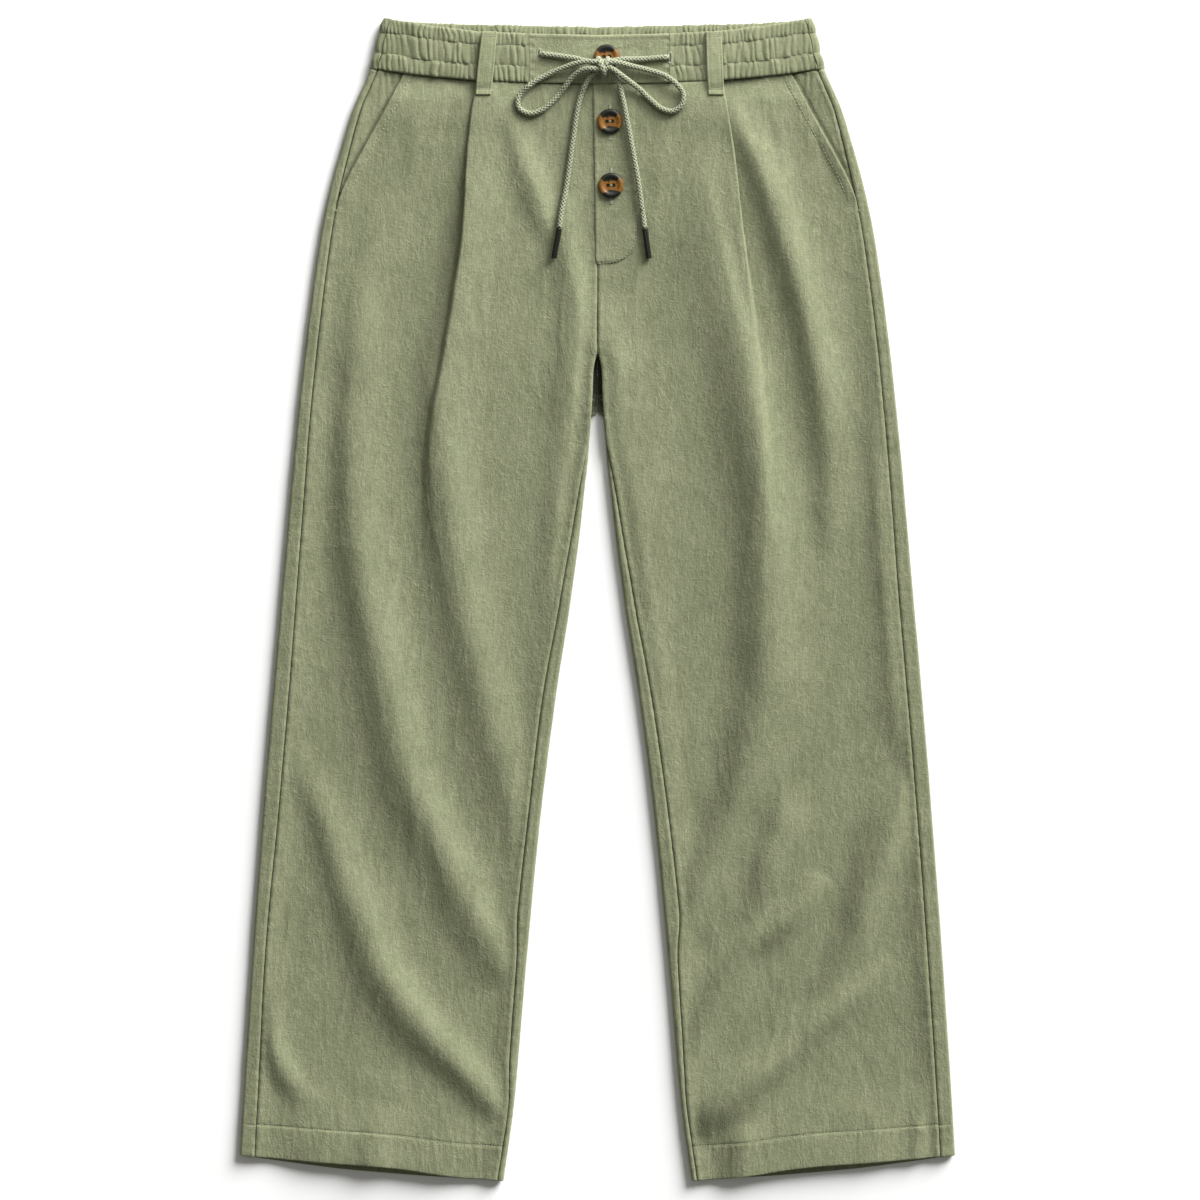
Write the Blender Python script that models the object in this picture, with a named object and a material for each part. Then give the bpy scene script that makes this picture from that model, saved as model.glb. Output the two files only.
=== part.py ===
# Linen drawstring trousers, laid flat and face up, waist towards +Y and the wearer's right leg at -X.
# Sizes are millimetres. A place on the garment is given as out (from the centre line), down (from
# the top of the waistband) and height (above the surface that it lies on).
import math

import bmesh
import bpy
import numpy as np

MM = 0.001
GAP = 0.3                # between two pieces that are sewn together or that rest on each other
LENGTH = 1016.9          # top of the waistband to the inner corner of a hem
SIDES = {"right": -1, "left": 1}

CLOTH = 1.3              # one thickness of linen
HEM_CLOTH = 2.0          # linen turned up at the hem
HEM_DEPTH = 29.0
REST_HEIGHT = 2.6        # middle of the front cloth where it lies on the back
WAIST_ROW = 58.5         # row of a panel that meets the waistband, at the centre line
HEM_ROW = 1005.5         # row of a panel that is its hem, at the middle of the leg
HEM_ARCH = 6.2           # how far the front of a hem stands off the back, at its middle
FRONT_CROTCH = 292.0
BACK_CROTCH = 334.0
SEAM_REACH = 13.0        # how far the cloth beside a seam stays as high as the seam
CROTCH_RISE = 1.5        # how much higher the seams stand where the four panels meet
HEM_REACH = 62.0         # how far the arch of a hem reaches up the leg, and in from its two edges
POCKET_END = 163.0       # where a pocket's edge meets the side seam
POCKET_GAPE = 1.6        # how far a pocket's edge stands off its facing, at its middle
FACING_SLOPE = 0.10


def table(names, *rows):
    return dict(zip(names.split(), np.array(rows, float).T))


def curve(values, column, at):
    # Reads a column against the table's first one, as a smooth curve that never overshoots its rows.
    x = next(iter(values.values()))
    y = values[column]
    rise = np.diff(y) / np.diff(x)
    bends = rise[:-1] * rise[1:]
    sums = np.where(bends > 0, rise[:-1] + rise[1:], 1.0)
    slope = np.concatenate(([rise[0]], np.where(bends > 0, 2 * bends / sums, 0.0), [rise[-1]]))
    at = min(max(at, x[0]), x[-1])
    i = min(int(np.searchsorted(x, at, side="right")) - 1, len(x) - 2)
    step = x[i + 1] - x[i]
    t = (at - x[i]) / step
    start = (1 + 2 * t) * (1 - t) ** 2 * y[i] + t * (1 - t) ** 2 * step * slope[i]
    return float(start + t * t * (3 - 2 * t) * y[i + 1] - t * t * (1 - t) * step * slope[i + 1])


def ease(start, end, at):
    t = min(max((at - start) / (end - start), 0.0), 1.0)
    return t * t * (3 - 2 * t)


def bell(distance, width):
    return math.exp(-(distance / width) ** 2)


# The cut: outline, seams, waistband and hems.

OUTER = table(
    "down edge",
    (0, 186.8), (14, 191.2), (31, 194.7), (45, 198.6), (80, 213.5), (115, 224), (150, 233.6), (185, 241),
    (238, 249), (308, 257.7), (386, 265.6), (526, 278), (666, 290), (806, 300.6), (946, 309.8), (1000, 313),
)
INNER = table(
    "down edge",
    (292, 0.15), (308, 3.4), (334, 4.4), (386, 8.75), (421, 12.3), (456, 16.2), (491, 21), (526, 25.8),
    (561, 31.5), (596, 36.8), (666, 46), (736, 53.8), (806, 60.4), (876, 66.5), (946, 72.6), (1017, 82.4),
)
# The back wraps round both edges and meets the front this far in from the outline.
SEAMS = table(
    "down side_right side_left inseam_right inseam_left",
    (36, 6.4, 6.0, 0, 0), (80, 6.5, 6.6, 0, 0), (168, 8.8, 9.6, 0, 0), (255, 10, 10.2, 0, 0),
    (369, 11, 11.2, 0, 0), (386, 11.4, 11.4, 2.3, 2.0), (430, 12.1, 11.9, 5.8, 5.3),
    (518, 13, 12.9, 9.6, 8.8), (605, 13.8, 12.9, 11.6, 11), (693, 13.4, 12.9, 10.9, 12.4),
    (780, 11.4, 12.9, 11.6, 13.4), (824, 11, 12.9, 8.8, 8.2), (911, 12.3, 12.9, 7.6, 6),
    (955, 12.8, 12.9, 4.6, 4.8), (1010, 13, 13, 5.1, 4.9),
)
# Height of the folded edge at the side seam and inseam, over its outside.
EDGES = table("down height", (44, 7.6), (80, 6.8), (130, 6.4), (250, 6.2), (940, 6.2), (975, 6.4),
              (1006, 6.6))
# Lines across the waistband: its two edges and the two rows of stitching between its three puffs.
BAND = table(
    "out top row_1 row_2 bottom back_top back_bottom",
    (0, 15.3, 26.3, 43.9, 58.2, 7.4, 50.6), (54, 14.2, 25.4, 42.8, 57.2, 6.3, 49.8),
    (104, 11.9, 23.8, 41.6, 55.2, 5.3, 49.0), (141, 7.6, 20, 38.5, 52, 4.2, 48.4),
    (160, 4.8, 17, 36.2, 49.9, 3.1, 48),
    (175, 2.2, 14.5, 33, 47.9, 1.6, 47.2), (187, 0.2, 13.4, 31.5, 46.0, 0.2, 46.0),
    (199, 0, 13.0, 30.8, 44.0, 0, 44.0),
)
FRONT_HEM = table("out down", (82, 1016.8), (125, 1013.3), (170, 1006.6), (200, 1003.4), (225, 1001.8),
                  (262, 998.9), (313, 994.2))
BACK_HEM = table("out down", (82, 1016.8), (152, 1012.3), (191, 1009.2), (224, 1006.2), (262, 1001.4),
                 (313, 994.2))
POCKET_EDGE = table("down out", (44, 167), (84, 188), (112, 203.4), (145, 220.9), (163, 227.9))
FRONT_CUT = ("bottom", FRONT_HEM)
BACK_CUT = ("back_bottom", BACK_HEM)
PANEL_ROWS = (58.5, 68, 83, 102, 124, 146, 166, 190, 218, 252, 294, 314, 336, 350, 367, 386, 412, 450, 500,
              555, 610, 665, 720, 770, 815, 860, 900, 940, 975, 978, 992, 1005.5)

# The lie of the cloth: the puff under the waistband, one pleat, and the soft folds of each front.

WAIST_RISE = table("down rise", (56, 3.4), (63, 4.6), (73, 5.9), (85, 5.7), (104, 4.2), (130, 2.8),
                   (180, 1.4), (260, 0.4), (400, 0))
PLEAT_LINE = {
    "right": table("down out", (56, 104.4), (90, 109.8), (122, 112.9), (183, 116), (246, 124.4), (298, 132.8),
                   (350, 142), (390, 145), (440, 142), (530, 124), (660, 132), (820, 150), (1006, 162)),
    "left": table("down out", (56, 108.6), (97, 115), (127, 119.4), (163, 122.9), (246, 132.6), (340, 141),
                  (430, 146), (530, 144), (660, 140), (820, 150), (1006, 162)),
}
# The pleat's cloth turns under by an angle, runs flat and turns back. It opens out down the leg.
PLEAT = table(
    "down turn radius flat spread",
    (56, 180, 0.92, 12, 400), (90, 180, 0.95, 10, 150), (128, 172, 1.1, 7, 80), (165, 145, 1.4, 4.5, 56),
    (200, 112, 1.8, 3.2, 50), (240, 86, 2.2, 2.6, 46), (290, 64, 2.9, 2, 44), (340, 46, 4, 2.6, 42),
    (385, 31, 5.6, 4, 40), (430, 15, 8, 8, 38), (480, 4, 10, 18, 36), (560, 0, 10, 32, 34),
    (1010, 0, 10, 60, 34),
)
FOLD_COLUMNS = "out down height inward outward"
FOLDS = {
    "right": (
        table(FOLD_COLUMNS, (108, 76, 0, 24, 9), (112, 124, 1.5, 26, 9), (115, 159, 2.6, 27, 10),
              (119, 194, 4.2, 28, 10), (124, 229, 5.2, 27, 12), (130, 268, 6, 24, 15),
              (137, 312, 6.2, 24, 17), (138, 360, 6.4, 23, 18), (130, 421, 7, 21, 21),
              (123, 491, 7.2, 24, 20), (110, 548, 7.2, 20, 22), (95, 605, 7, 20, 22),
              (81, 662, 5.8, 18, 22), (74, 710, 2.2, 15, 18), (71, 736, 0, 14, 16)),
        table(FOLD_COLUMNS, (190, 150, 0, 14, 14), (194, 181, 1.5, 17, 15), (203, 216, 3, 18, 16),
              (208, 255, 4.6, 19, 17), (210, 308, 5.6, 20, 16), (215, 360, 6.3, 22, 14),
              (215, 404, 7.3, 24, 14), (211, 456, 8.6, 25, 18), (202, 509, 9, 23, 20),
              (191, 557, 9, 22, 22), (182, 605, 9.4, 22, 23), (167, 662, 9.2, 21, 23),
              (147, 706, 8.5, 19, 22), (128, 745, 8, 18, 22), (109, 784, 7.6, 18, 21),
              (93, 815, 5.4, 16, 21), (83, 848, 0, 15, 18)),
        table(FOLD_COLUMNS, (260, 631, 0, 13, 11), (252, 671, 3, 15, 13), (236, 706, 5.1, 16, 14),
              (223, 749, 6.4, 19, 17), (210, 784, 7.4, 20, 18), (192, 828, 8.4, 19, 20),
              (169, 863, 9, 18, 21), (147, 889, 8.6, 17, 19), (120, 917, 7.8, 16, 15),
              (97, 943, 5.6, 14, 14), (83, 962, 0, 13, 13)),
        table(FOLD_COLUMNS, (295, 826, 0, 11, 9), (293, 859, 3.6, 12, 9), (288, 889, 4.8, 12, 10),
              (276, 918, 5.2, 11, 11), (260, 939, 2.6, 11, 12), (246, 957, 0, 12, 12)),
        table(FOLD_COLUMNS, (187, 946, 0, 12, 12), (192, 973, 2.8, 14, 13), (196, 1003, 3.4, 14, 14),
              (196, 1021, 3.2, 14, 14)),
        table(FOLD_COLUMNS, (29, 150, 0, 11, 13), (28, 181, 3.2, 11, 14), (24, 216, 4.8, 10, 15),
              (18, 251, 5.2, 9, 16), (21, 290, 5, 9, 16), (26, 334, 4.8, 10, 15), (31, 378, 4, 10, 14),
              (36, 421, 3.8, 10, 13), (41, 465, 2.8, 10, 13), (45, 526, 0, 10, 12)),
        table(FOLD_COLUMNS, (83, 71, 0, 9, 10), (73, 102, 2.6, 10, 11), (62, 137, 4.2, 12, 12),
              (49, 172, 3.8, 12, 13), (39, 203, 0, 11, 12)),
    ),
    "left": (
        table(FOLD_COLUMNS, (118, 71, 0, 10, 12), (126, 99, 5, 11, 14), (140, 126, 7.4, 12, 16),
              (152, 157, 9.2, 13, 18), (162, 192, 10, 14, 18), (174, 229, 9.8, 14, 18),
              (184, 268, 9, 14, 17), (194, 316, 8.2, 14, 16), (199, 356, 6.8, 14, 15),
              (203, 395, 4.8, 13, 14), (203, 439, 2.8, 12, 14), (196, 496, 0, 12, 14)),
        table(FOLD_COLUMNS, (90, 111, 0, 20, 12), (93, 146, 2, 22, 11), (102, 181, 3.4, 25, 10),
              (109, 216, 4.6, 27, 10), (117, 251, 6, 28, 11), (125, 286, 7.6, 27, 14),
              (133, 334, 9.2, 25, 16), (141, 382, 9.6, 24, 18), (147, 430, 10.2, 22, 22),
              (147, 483, 11, 22, 28), (147, 535, 11.2, 23, 31), (147, 579, 10.8, 22, 32),
              (139, 618, 10, 21, 31), (126, 666, 8.6, 18, 27), (112, 706, 6.8, 15, 15),
              (96, 741, 5, 14, 13), (82, 776, 2.4, 13, 12), (74, 799, 0, 12, 12)),
        table(FOLD_COLUMNS, (4, 242, 0, 10, 22), (7, 277, 3.2, 10, 24), (10, 312, 5, 10, 28),
              (16, 347, 4, 11, 29), (24, 382, 3.4, 11, 30), (31, 421, 3.6, 12, 30),
              (35, 461, 3.6, 12, 29), (39, 500, 3.2, 12, 27), (42, 544, 3, 12, 24),
              (49, 588, 2.6, 12, 20), (54, 631, 2.2, 12, 17), (56, 675, 1, 12, 14),
              (58, 714, 0, 12, 12)),
        table(FOLD_COLUMNS, (168, 659, 0, 11, 16), (163, 684, 3.4, 12, 20), (160, 706, 5.6, 13, 22),
              (149, 738, 5.6, 13, 20), (142, 771, 2.8, 13, 14), (135, 802, 0, 12, 12)),
        table(FOLD_COLUMNS, (196, 747, 0, 12, 12), (188, 761, 3.6, 12, 13), (175, 777, 6.2, 12, 13),
              (156, 794, 7.4, 12, 13), (133, 813, 6.8, 12, 13), (114, 838, 6, 12, 13),
              (97, 866, 4.6, 12, 13), (83, 894, 2.6, 12, 13), (74, 917, 0, 12, 12)),
        table(FOLD_COLUMNS, (268, 656, 0, 17, 11), (265, 679, 3.8, 19, 12), (258, 703, 6.6, 21, 14),
              (249, 736, 8.2, 21, 15), (236, 771, 8, 16, 15), (224, 805, 6, 14, 15),
              (210, 833, 3.8, 14, 14), (190, 868, 0, 13, 13)),
        table(FOLD_COLUMNS, (258, 820, 0, 13, 13), (237, 841, 3.8, 13, 14), (214, 861, 6.6, 14, 14),
              (190, 881, 8.2, 14, 14), (161, 908, 9.6, 14, 14), (133, 931, 10.6, 14, 15),
              (112, 950, 9.6, 14, 15), (94, 966, 5, 13, 14), (84, 979, 0, 12, 13)),
        table(FOLD_COLUMNS, (251, 334, 0, 16, 9), (253, 369, 3, 17, 9), (256, 421, 4.2, 18, 10),
              (258, 474, 4.4, 18, 10), (261, 535, 3.8, 18, 10), (266, 596, 3.2, 18, 10),
              (269, 649, 0, 16, 10)),
        table(FOLD_COLUMNS, (126, 964, 0, 12, 14), (125, 983, 3.2, 13, 15), (123, 1021, 3.2, 13, 15)),
        table(FOLD_COLUMNS, (283, 933, 0, 9, 8), (281, 964, 2.4, 10, 8), (280, 1003, 3, 10, 8)),
    ),
}


def band_line(name, out):
    return float(np.interp(out, BAND["out"], BAND[name]))


def edge_height(down):
    return curve(EDGES, "height", down)


def wall(down_row):
    # The hem is double cloth, below a shallow groove where it is stitched.
    return HEM_CLOTH if down_row > HEM_ROW - HEM_DEPTH else CLOTH


def side_seam(side, down):
    return curve(OUTER, "edge", down) - curve(SEAMS, "side_" + side, down)


def inseam(side, down):
    return curve(INNER, "edge", down) + curve(SEAMS, "inseam_" + side, down)


def row_down(row, out, cut):
    # A panel's rows follow the waistband's lower edge at the top and the hem's line at the bottom.
    waist, hem = cut
    at_waist = min(max(1 - (row - WAIST_ROW) / 170, 0.0), 1.0) ** 2
    at_hem = min(max((row - 500) / (HEM_ROW - 500), 0.0), 1.0) ** 1.5
    waist_curve = band_line(waist, out) + GAP - WAIST_ROW
    return row + waist_curve * at_waist + (curve(hem, "down", out) - HEM_ROW) * at_hem


def on_row(row, cut, edge):
    # Where a line down the garment, such as a seam, crosses a row.
    out = edge(row)
    for _ in range(5):
        out = edge(row_down(row, out, cut))
    return out


def fold_height(side, out, down):
    total = 0.0
    for fold in FOLDS[side]:
        points = np.stack([fold["out"], fold["down"]], axis=1)
        nearest = None
        for i in range(len(points) - 1):
            run = points[i + 1] - points[i]
            t = float(np.clip(np.dot((out, down) - points[i], run) / np.dot(run, run), 0, 1))
            away = (out, down) - (points[i] + t * run)
            distance = float(np.hypot(*away))
            if nearest is None or distance < nearest[0]:
                widths = fold["inward" if away[0] < 0 else "outward"]
                heights = fold["height"]
                nearest = (distance, widths[i] + t * (widths[i + 1] - widths[i]),
                           heights[i] + t * (heights[i + 1] - heights[i]))
        distance, width, height = nearest
        total += (height * bell(distance, width)) ** 2
    return math.sqrt(total)


def facing_height(side, out, down):
    # Middle of the pocket facing, which slopes down from the side seam, under the front.
    seam_height = edge_height(down) - CLOTH / 2
    return seam_height - 1.3 * ease(47, 150, down) - FACING_SLOPE * (side_seam(side, down) - out)


def front_height(side, out, down):
    # Middle of the front cloth, apart from the step that its pleat makes.
    seam_height = edge_height(down) - wall(down) / 2
    from_side = side_seam(side, down) - out
    from_inner = out - inseam(side, down)
    below_crotch = ease(235, 300, down)
    by_side = bell(from_side, SEAM_REACH)
    by_inner = bell(from_inner, SEAM_REACH) * below_crotch
    clear = ease(0, 16, from_side) * (1 - (1 - ease(0, 18, from_inner)) * below_crotch)
    puff = curve(WAIST_RISE, "rise", down) * (0.7 + 0.3 * ease(60, 100, out))
    height = REST_HEIGHT + puff * (1 - by_side)
    height += (seam_height - REST_HEIGHT) * by_side
    height += (seam_height + CROTCH_RISE * bell(down - 352, 45) - REST_HEIGHT) * by_inner
    height += fold_height(side, out, down) * clear
    middle = ease(0, HEM_REACH, from_side) * ease(0, HEM_REACH, from_inner)
    height += HEM_ARCH * middle * bell(max(HEM_ROW - down, 0), HEM_REACH)
    if down < POCKET_END + 7:
        height = max(height, over_pocket(side, out, down, height))
    return height


def over_pocket(side, out, down, height):
    # Beside a pocket's edge the front clears the facing behind it.
    from_pocket = curve(POCKET_EDGE, "out", down) - out
    gape = POCKET_GAPE * bell(down - 112, 38) * ease(20, 0, from_pocket)
    over_facing = facing_height(side, out, down) + CLOTH + 1.5 * GAP + gape
    near = ease(27, 14, from_pocket) * (1 - ease(POCKET_END - 7, POCKET_END + 5, down))
    return height + (over_facing - height) * near


def pleat_rise(down):
    turn = math.radians(curve(PLEAT, "turn", down))
    radius = curve(PLEAT, "radius", down)
    return 2 * radius * (1 - math.cos(turn)) + curve(PLEAT, "flat", down) * math.sin(turn)


def pleat_lift(side, out, down):
    # The cloth between the two pleats lies on them, and sinks back towards the centre.
    beyond = curve(PLEAT_LINE[side], "out", down) - out - curve(PLEAT, "flat", down)
    return pleat_rise(down) * math.exp(-max(beyond, 0) / curve(PLEAT, "spread", down))


def front_top(side, out, down):
    # Upper surface of the front, for what lies on it.
    lift = pleat_lift(side, out, down) if out < curve(PLEAT_LINE[side], "out", down) + 2 else 0.0
    return front_height(side, out, down) + lift + wall(down) / 2


def pleat_steps(down):
    # Points of the pleat's section, from its upper fold, as (out, height) from where it starts.
    turn = math.radians(curve(PLEAT, "turn", down))
    radius = curve(PLEAT, "radius", down)
    flat = curve(PLEAT, "flat", down)
    arc = radius * turn
    total = 2 * arc + flat
    spaced = max(arc, 0.4 * total)
    stops = [spaced * i / 3 for i in range(4)]
    stops += [total - s for s in reversed(stops)]
    points = []
    for stop in stops:
        first = min(stop, arc) / radius
        last = max(stop - arc - flat, 0) / radius
        run = min(max(stop - arc, 0), flat)
        out = radius * math.sin(first) + run * math.cos(turn)
        drop = radius * (1 - math.cos(first)) + run * math.sin(turn)
        out += radius * (math.sin(turn) - math.sin(turn - last))
        drop += radius * (math.cos(turn - last) - math.cos(turn))
        points.append((out, -drop))
    return points


# Making solids.

def place(side, out, down, height):
    return (SIDES[side] * out * MM, (LENGTH / 2 - down) * MM, height * MM)


def material(name, colour, roughness, metallic=0.0):
    made = bpy.data.materials.new(name)
    made.use_nodes = True
    shader = made.node_tree.nodes["Principled BSDF"]
    shader.inputs["Base Color"].default_value = (*colour, 1)
    shader.inputs["Roughness"].default_value = roughness
    shader.inputs["Metallic"].default_value = metallic
    return made


def add_object(name, mesh, finish):
    made = bpy.data.objects.new(name, mesh)
    bpy.context.scene.collection.objects.link(made)
    mesh.materials.append(finish)
    mesh.shade_smooth()
    mesh.set_sharp_from_angle(angle=math.radians(38))
    return made


def wall_solid(name, outside, inside, finish):
    # A closed wall between two grids of points, its outside and its inside.
    rows, columns = len(outside), len(outside[0])
    form = bmesh.new()
    skins = [[[form.verts.new(point) for point in row] for row in grid] for grid in (outside, inside)]
    for skin in skins:
        for r in range(rows - 1):
            for c in range(columns - 1):
                form.faces.new((skin[r][c], skin[r][c + 1], skin[r + 1][c + 1], skin[r + 1][c]))
    rim = [(0, c) for c in range(columns - 1)] + [(r, columns - 1) for r in range(rows - 1)]
    rim += [(rows - 1, c) for c in range(columns - 1, 0, -1)] + [(r, 0) for r in range(rows - 1, 0, -1)]
    for (r, c), (next_r, next_c) in zip(rim, rim[1:] + rim[:1]):
        form.faces.new((skins[0][r][c], skins[0][next_r][next_c], skins[1][next_r][next_c], skins[1][r][c]))
    bmesh.ops.recalc_face_normals(form, faces=form.faces)
    mesh = bpy.data.meshes.new(name)
    form.to_mesh(mesh)
    form.free()
    return add_object(name, mesh, finish)


def thickened(section, thickness):
    # Both faces of a cloth section, from the middle line that runs through it.
    points = np.array(section, float)
    along = np.gradient(points, axis=0)
    along /= np.linalg.norm(along, axis=1)[:, None]
    across = np.stack([-along[:, 1], along[:, 0]], axis=1) * thickness / 2
    return points + across, points - across


def panel_solid(name, side, cut, section_at, finish):
    outside, inside = [], []
    for row in PANEL_ROWS:
        section = section_at(side, row)
        for grid, face in zip((outside, inside), thickened(section, wall(row))):
            downs = [row_down(row, out, cut) for out, _ in section]
            grid.append([place(side, out, down, height) for (out, height), down in zip(face, downs)])
    return wall_solid(name, outside, inside, finish)


# The legs.

def front_edge(side, down):
    seam = side_seam(side, down) - GAP / 2
    return min(seam, curve(POCKET_EDGE, "out", down)) if down < POCKET_END else seam


def front_inner(side, down):
    return inseam(side, down) + GAP / 2 if down > FRONT_CROTCH else GAP / 2


def front_section(side, row):
    # From the centre or inseam, over the pleat, to the pocket's edge or the side seam.
    start = on_row(row, FRONT_CUT, lambda down: front_inner(side, down))
    end = on_row(row, FRONT_CUT, lambda down: front_edge(side, down))
    turn_at = on_row(row, FRONT_CUT, lambda down: curve(PLEAT_LINE[side], "out", down))

    def height(out):
        return front_height(side, out, row_down(row, out, FRONT_CUT))

    section = []
    for out in np.linspace(start, turn_at, 10)[:-1]:
        section.append((out, height(out) + pleat_lift(side, out, row_down(row, out, FRONT_CUT))))
    turn_down = row_down(row, turn_at, FRONT_CUT)
    steps = pleat_steps(turn_down)
    for out, rise in steps:
        section.append((turn_at + out, height(turn_at + out) + pleat_rise(turn_down) + rise))
    for out in np.linspace(turn_at + steps[-1][0], end, 9)[1:]:
        section.append((out, height(out)))
    return section


def side_fold(side, row):
    # Radius and centre of the turn round the outer edge, through the middle of the cloth.
    seam = on_row(row, BACK_CUT, lambda d: side_seam(side, d))
    high = edge_height(row_down(row, seam, BACK_CUT))
    radius = (high - wall(row)) / 2
    centre = on_row(row, BACK_CUT, lambda d: curve(OUTER, "edge", d)) - wall(row) / 2 - radius
    return seam, high, radius, centre


FLAT_END = 9.0           # where the floor part begins its last few columns, above the crotch


def back_section(side, row):
    thick = wall(row)
    seam, high, radius, centre = side_fold(side, row)
    section = [(seam + GAP / 2, high - thick / 2)]
    for angle in np.radians((0, 45, 90, 135, 180)):
        section.append((centre + radius * math.sin(angle), high / 2 + radius * math.cos(angle)))
    inner = inner_wrap(side, row, thick, radius)
    foot = inner[0][0]
    waist_centre = side_fold(side, WAIST_ROW)[3]
    for corner in reversed(BAND["out"][1:-1]):
        # The flat part has a column at each corner of the waistband's lower edge.
        share = (corner - FLAT_END) / (waist_centre - FLAT_END)
        section.append((foot + (centre - foot) * share, thick / 2))
    return section + inner


def inner_wrap(side, row, thick, radius):
    # Along the floor to the centre seam or, below the crotch, up round the inner edge to the inseam.
    if row < BACK_CROTCH:
        return [(out, thick / 2) for out in (FLAT_END, 7, 5, 2.5, GAP / 2)]
    edge = on_row(row, BACK_CUT, lambda d: curve(INNER, "edge", d))
    inset = on_row(row, BACK_CUT, lambda d: inseam(side, d)) - edge
    if row < 345:
        turn, edge = math.radians(40), GAP / 2
    elif inset < thick / 2 + GAP / 2:
        turn = math.radians(np.interp(row, (345, 369), (70, 92)))
    else:
        turn = math.pi - math.asin(min(max(1 - (inset - thick / 2 - GAP / 2) / radius, 0), 1))
    reach = radius * math.sin(turn) if turn < math.pi / 2 else radius
    foot = edge + thick / 2 + reach
    section = []
    for angle in np.linspace(0, turn, 4):
        section.append((foot - radius * math.sin(angle), thick / 2 + radius * (1 - math.cos(angle))))
    last_out, last_high = section[-1]
    straight = max(edge + inset - GAP / 2 - last_out, 0.3) if turn > 3.1 else 0.3
    section.append((last_out - straight * math.cos(turn), last_high + straight * math.sin(turn)))
    return section


def facing_solid(side, finish):
    # Cloth behind a slanted pocket, seen between the pocket's edge and the side seam.
    under_front = 12.0
    end_down = 153.0
    outside, inside = [], []
    for row in np.linspace(0, 1, 9):
        section = []
        downs = []
        for across in np.linspace(0, 1, 6):
            top = curve(BAND, "bottom", 193 - 36 * across) + GAP
            down = top + (end_down - top) * row
            seam = side_seam(side, down) - GAP
            hidden = curve(POCKET_EDGE, "out", down) - under_front
            out = seam + (hidden - seam) * across
            section.append((out, facing_height(side, out, down)))
            downs.append(down)
        for grid, face in zip((inside, outside), thickened(section, CLOTH)):
            grid.append([place(side, out, down, height) for (out, height), down in zip(face, downs)])
    return wall_solid("pocket_facing_" + side, outside, inside, finish)


# The waistband.

BAND_SEAM = 6.2          # from the band's edge to where its back meets its front
BAND_HEIGHT = 8.6        # of the folded edge
BAND_CLOTH = 2.0         # at a row of stitching
PUFF = 1.0               # how far the band swells between two rows of stitching
EDGE_PUFF = 0.8          # the same at its folded edge
GATHER = 1.05            # height of a gather over the puff
GATHER_PITCH = 6.7
BACK_GATHERS = 58
PLAIN_CLOTH = 2.7        # of the plain part, which is faced
BAND_ROWS = (0, 0.2, 0.8, 1, 1.18, 1.82, 2, 2.2, 2.8, 3)
PLAIN_HALF = {"right": 59.0, "left": 62.6}


def band_down(out, across):
    # across runs 0, 1, 2, 3 over the band's four lines.
    lines = [band_line(name, out) for name in ("top", "row_1", "row_2", "bottom")]
    return float(np.interp(across, range(4), lines))


def back_band_down(out, across):
    top, bottom = band_line("back_top", out), band_line("back_bottom", out)
    return top + (bottom - top) * float(np.interp(across, range(4), (0, 0.29, 0.685, 1)))


def band_under(out):
    # Inside of the front band, which arches over the back one.
    return float(np.interp(out, (0, 105, 141, 175, 199), (8.7, 8.7, 8.1, 7.0, 6.6)))


def puff_at(across):
    return math.sin(math.pi * (across % 1.0)) if across not in (0, 3) else 0.0


def gather_wave(out, across, shift):
    row = min(int(across), 2)
    turns = out / GATHER_PITCH + (0.0, 0.37, 0.71)[row] + shift + 0.12 * math.sin(out / 17 + row * 2)
    return math.cos(2 * math.pi * turns)


def shirred_band(side, finish):
    start = PLAIN_HALF[side] + GAP
    columns = 4 * round((186 - start) / GATHER_PITCH)
    outside, inside = [], []
    for across in BAND_ROWS:
        edge = curve(OUTER, "edge", band_down(190, across)) + EDGE_PUFF * puff_at(across) - BAND_SEAM - GAP
        top, under = [], []
        for out in np.linspace(start, edge, columns + 1):
            down = band_down(out, across)
            swell = puff_at(across)
            ridge = GATHER * gather_wave(out, across, 0.2 * SIDES[side]) * (0.25 + 0.75 * swell)
            ridge *= ease(start, start + 4, out)
            rim = 0.5 if across in (0, 3) else 0.0
            height = band_under(out) + BAND_CLOTH + PUFF * swell ** 0.7 + ridge - rim
            top.append(place(side, out, down, height))
            under.append(place(side, out, down, band_under(out)))
        outside.append(top)
        inside.append(under)
    return wall_solid("waistband_" + side, outside, inside, finish)


def centre_band(finish):
    # Plain part of the band, over the fly.
    outside, inside = [], []
    places = [("right", out) for out in (59, 57.5, 54, 27)] + [("left", out) for out in (0, 27, 54, 61, 62.6)]
    for across in (0, 0.12, 0.3, 1.5, 2.75, 2.9, 3):
        top, under = [], []
        for side, out in places:
            down = band_down(out, across)
            rounded = 0.9 if across in (0, 3) else 0.2 if across in (0.12, 2.9) else 0.0
            rounded += 0.4 if out in (59, 62.6) else 0.0
            top.append(place(side, out, down, band_under(out) + PLAIN_CLOTH - rounded))
            under.append(place(side, out, down, band_under(out)))
        outside.append(top)
        inside.append(under)
    return wall_solid("waistband_centre", outside, inside, finish)


def back_band(finish):
    # Wraps round both edges. Its gathers show on the inner face, and its outside lies flat.
    outside, inside = [], []
    for across in BAND_ROWS:
        reach = curve(OUTER, "edge", back_band_down(190, across)) + EDGE_PUFF * puff_at(across)
        right_outer, right_inner = back_band_turn("right", across, reach)
        middle_outer, middle_inner = back_band_middle(across, reach - BAND_HEIGHT / 2)
        left_outer, left_inner = back_band_turn("left", across, reach)
        outside.append(right_outer + middle_outer + left_outer[::-1])
        inside.append(right_inner + middle_inner + left_inner[::-1])
    return wall_solid("waistband_back", outside, inside, finish)


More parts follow.
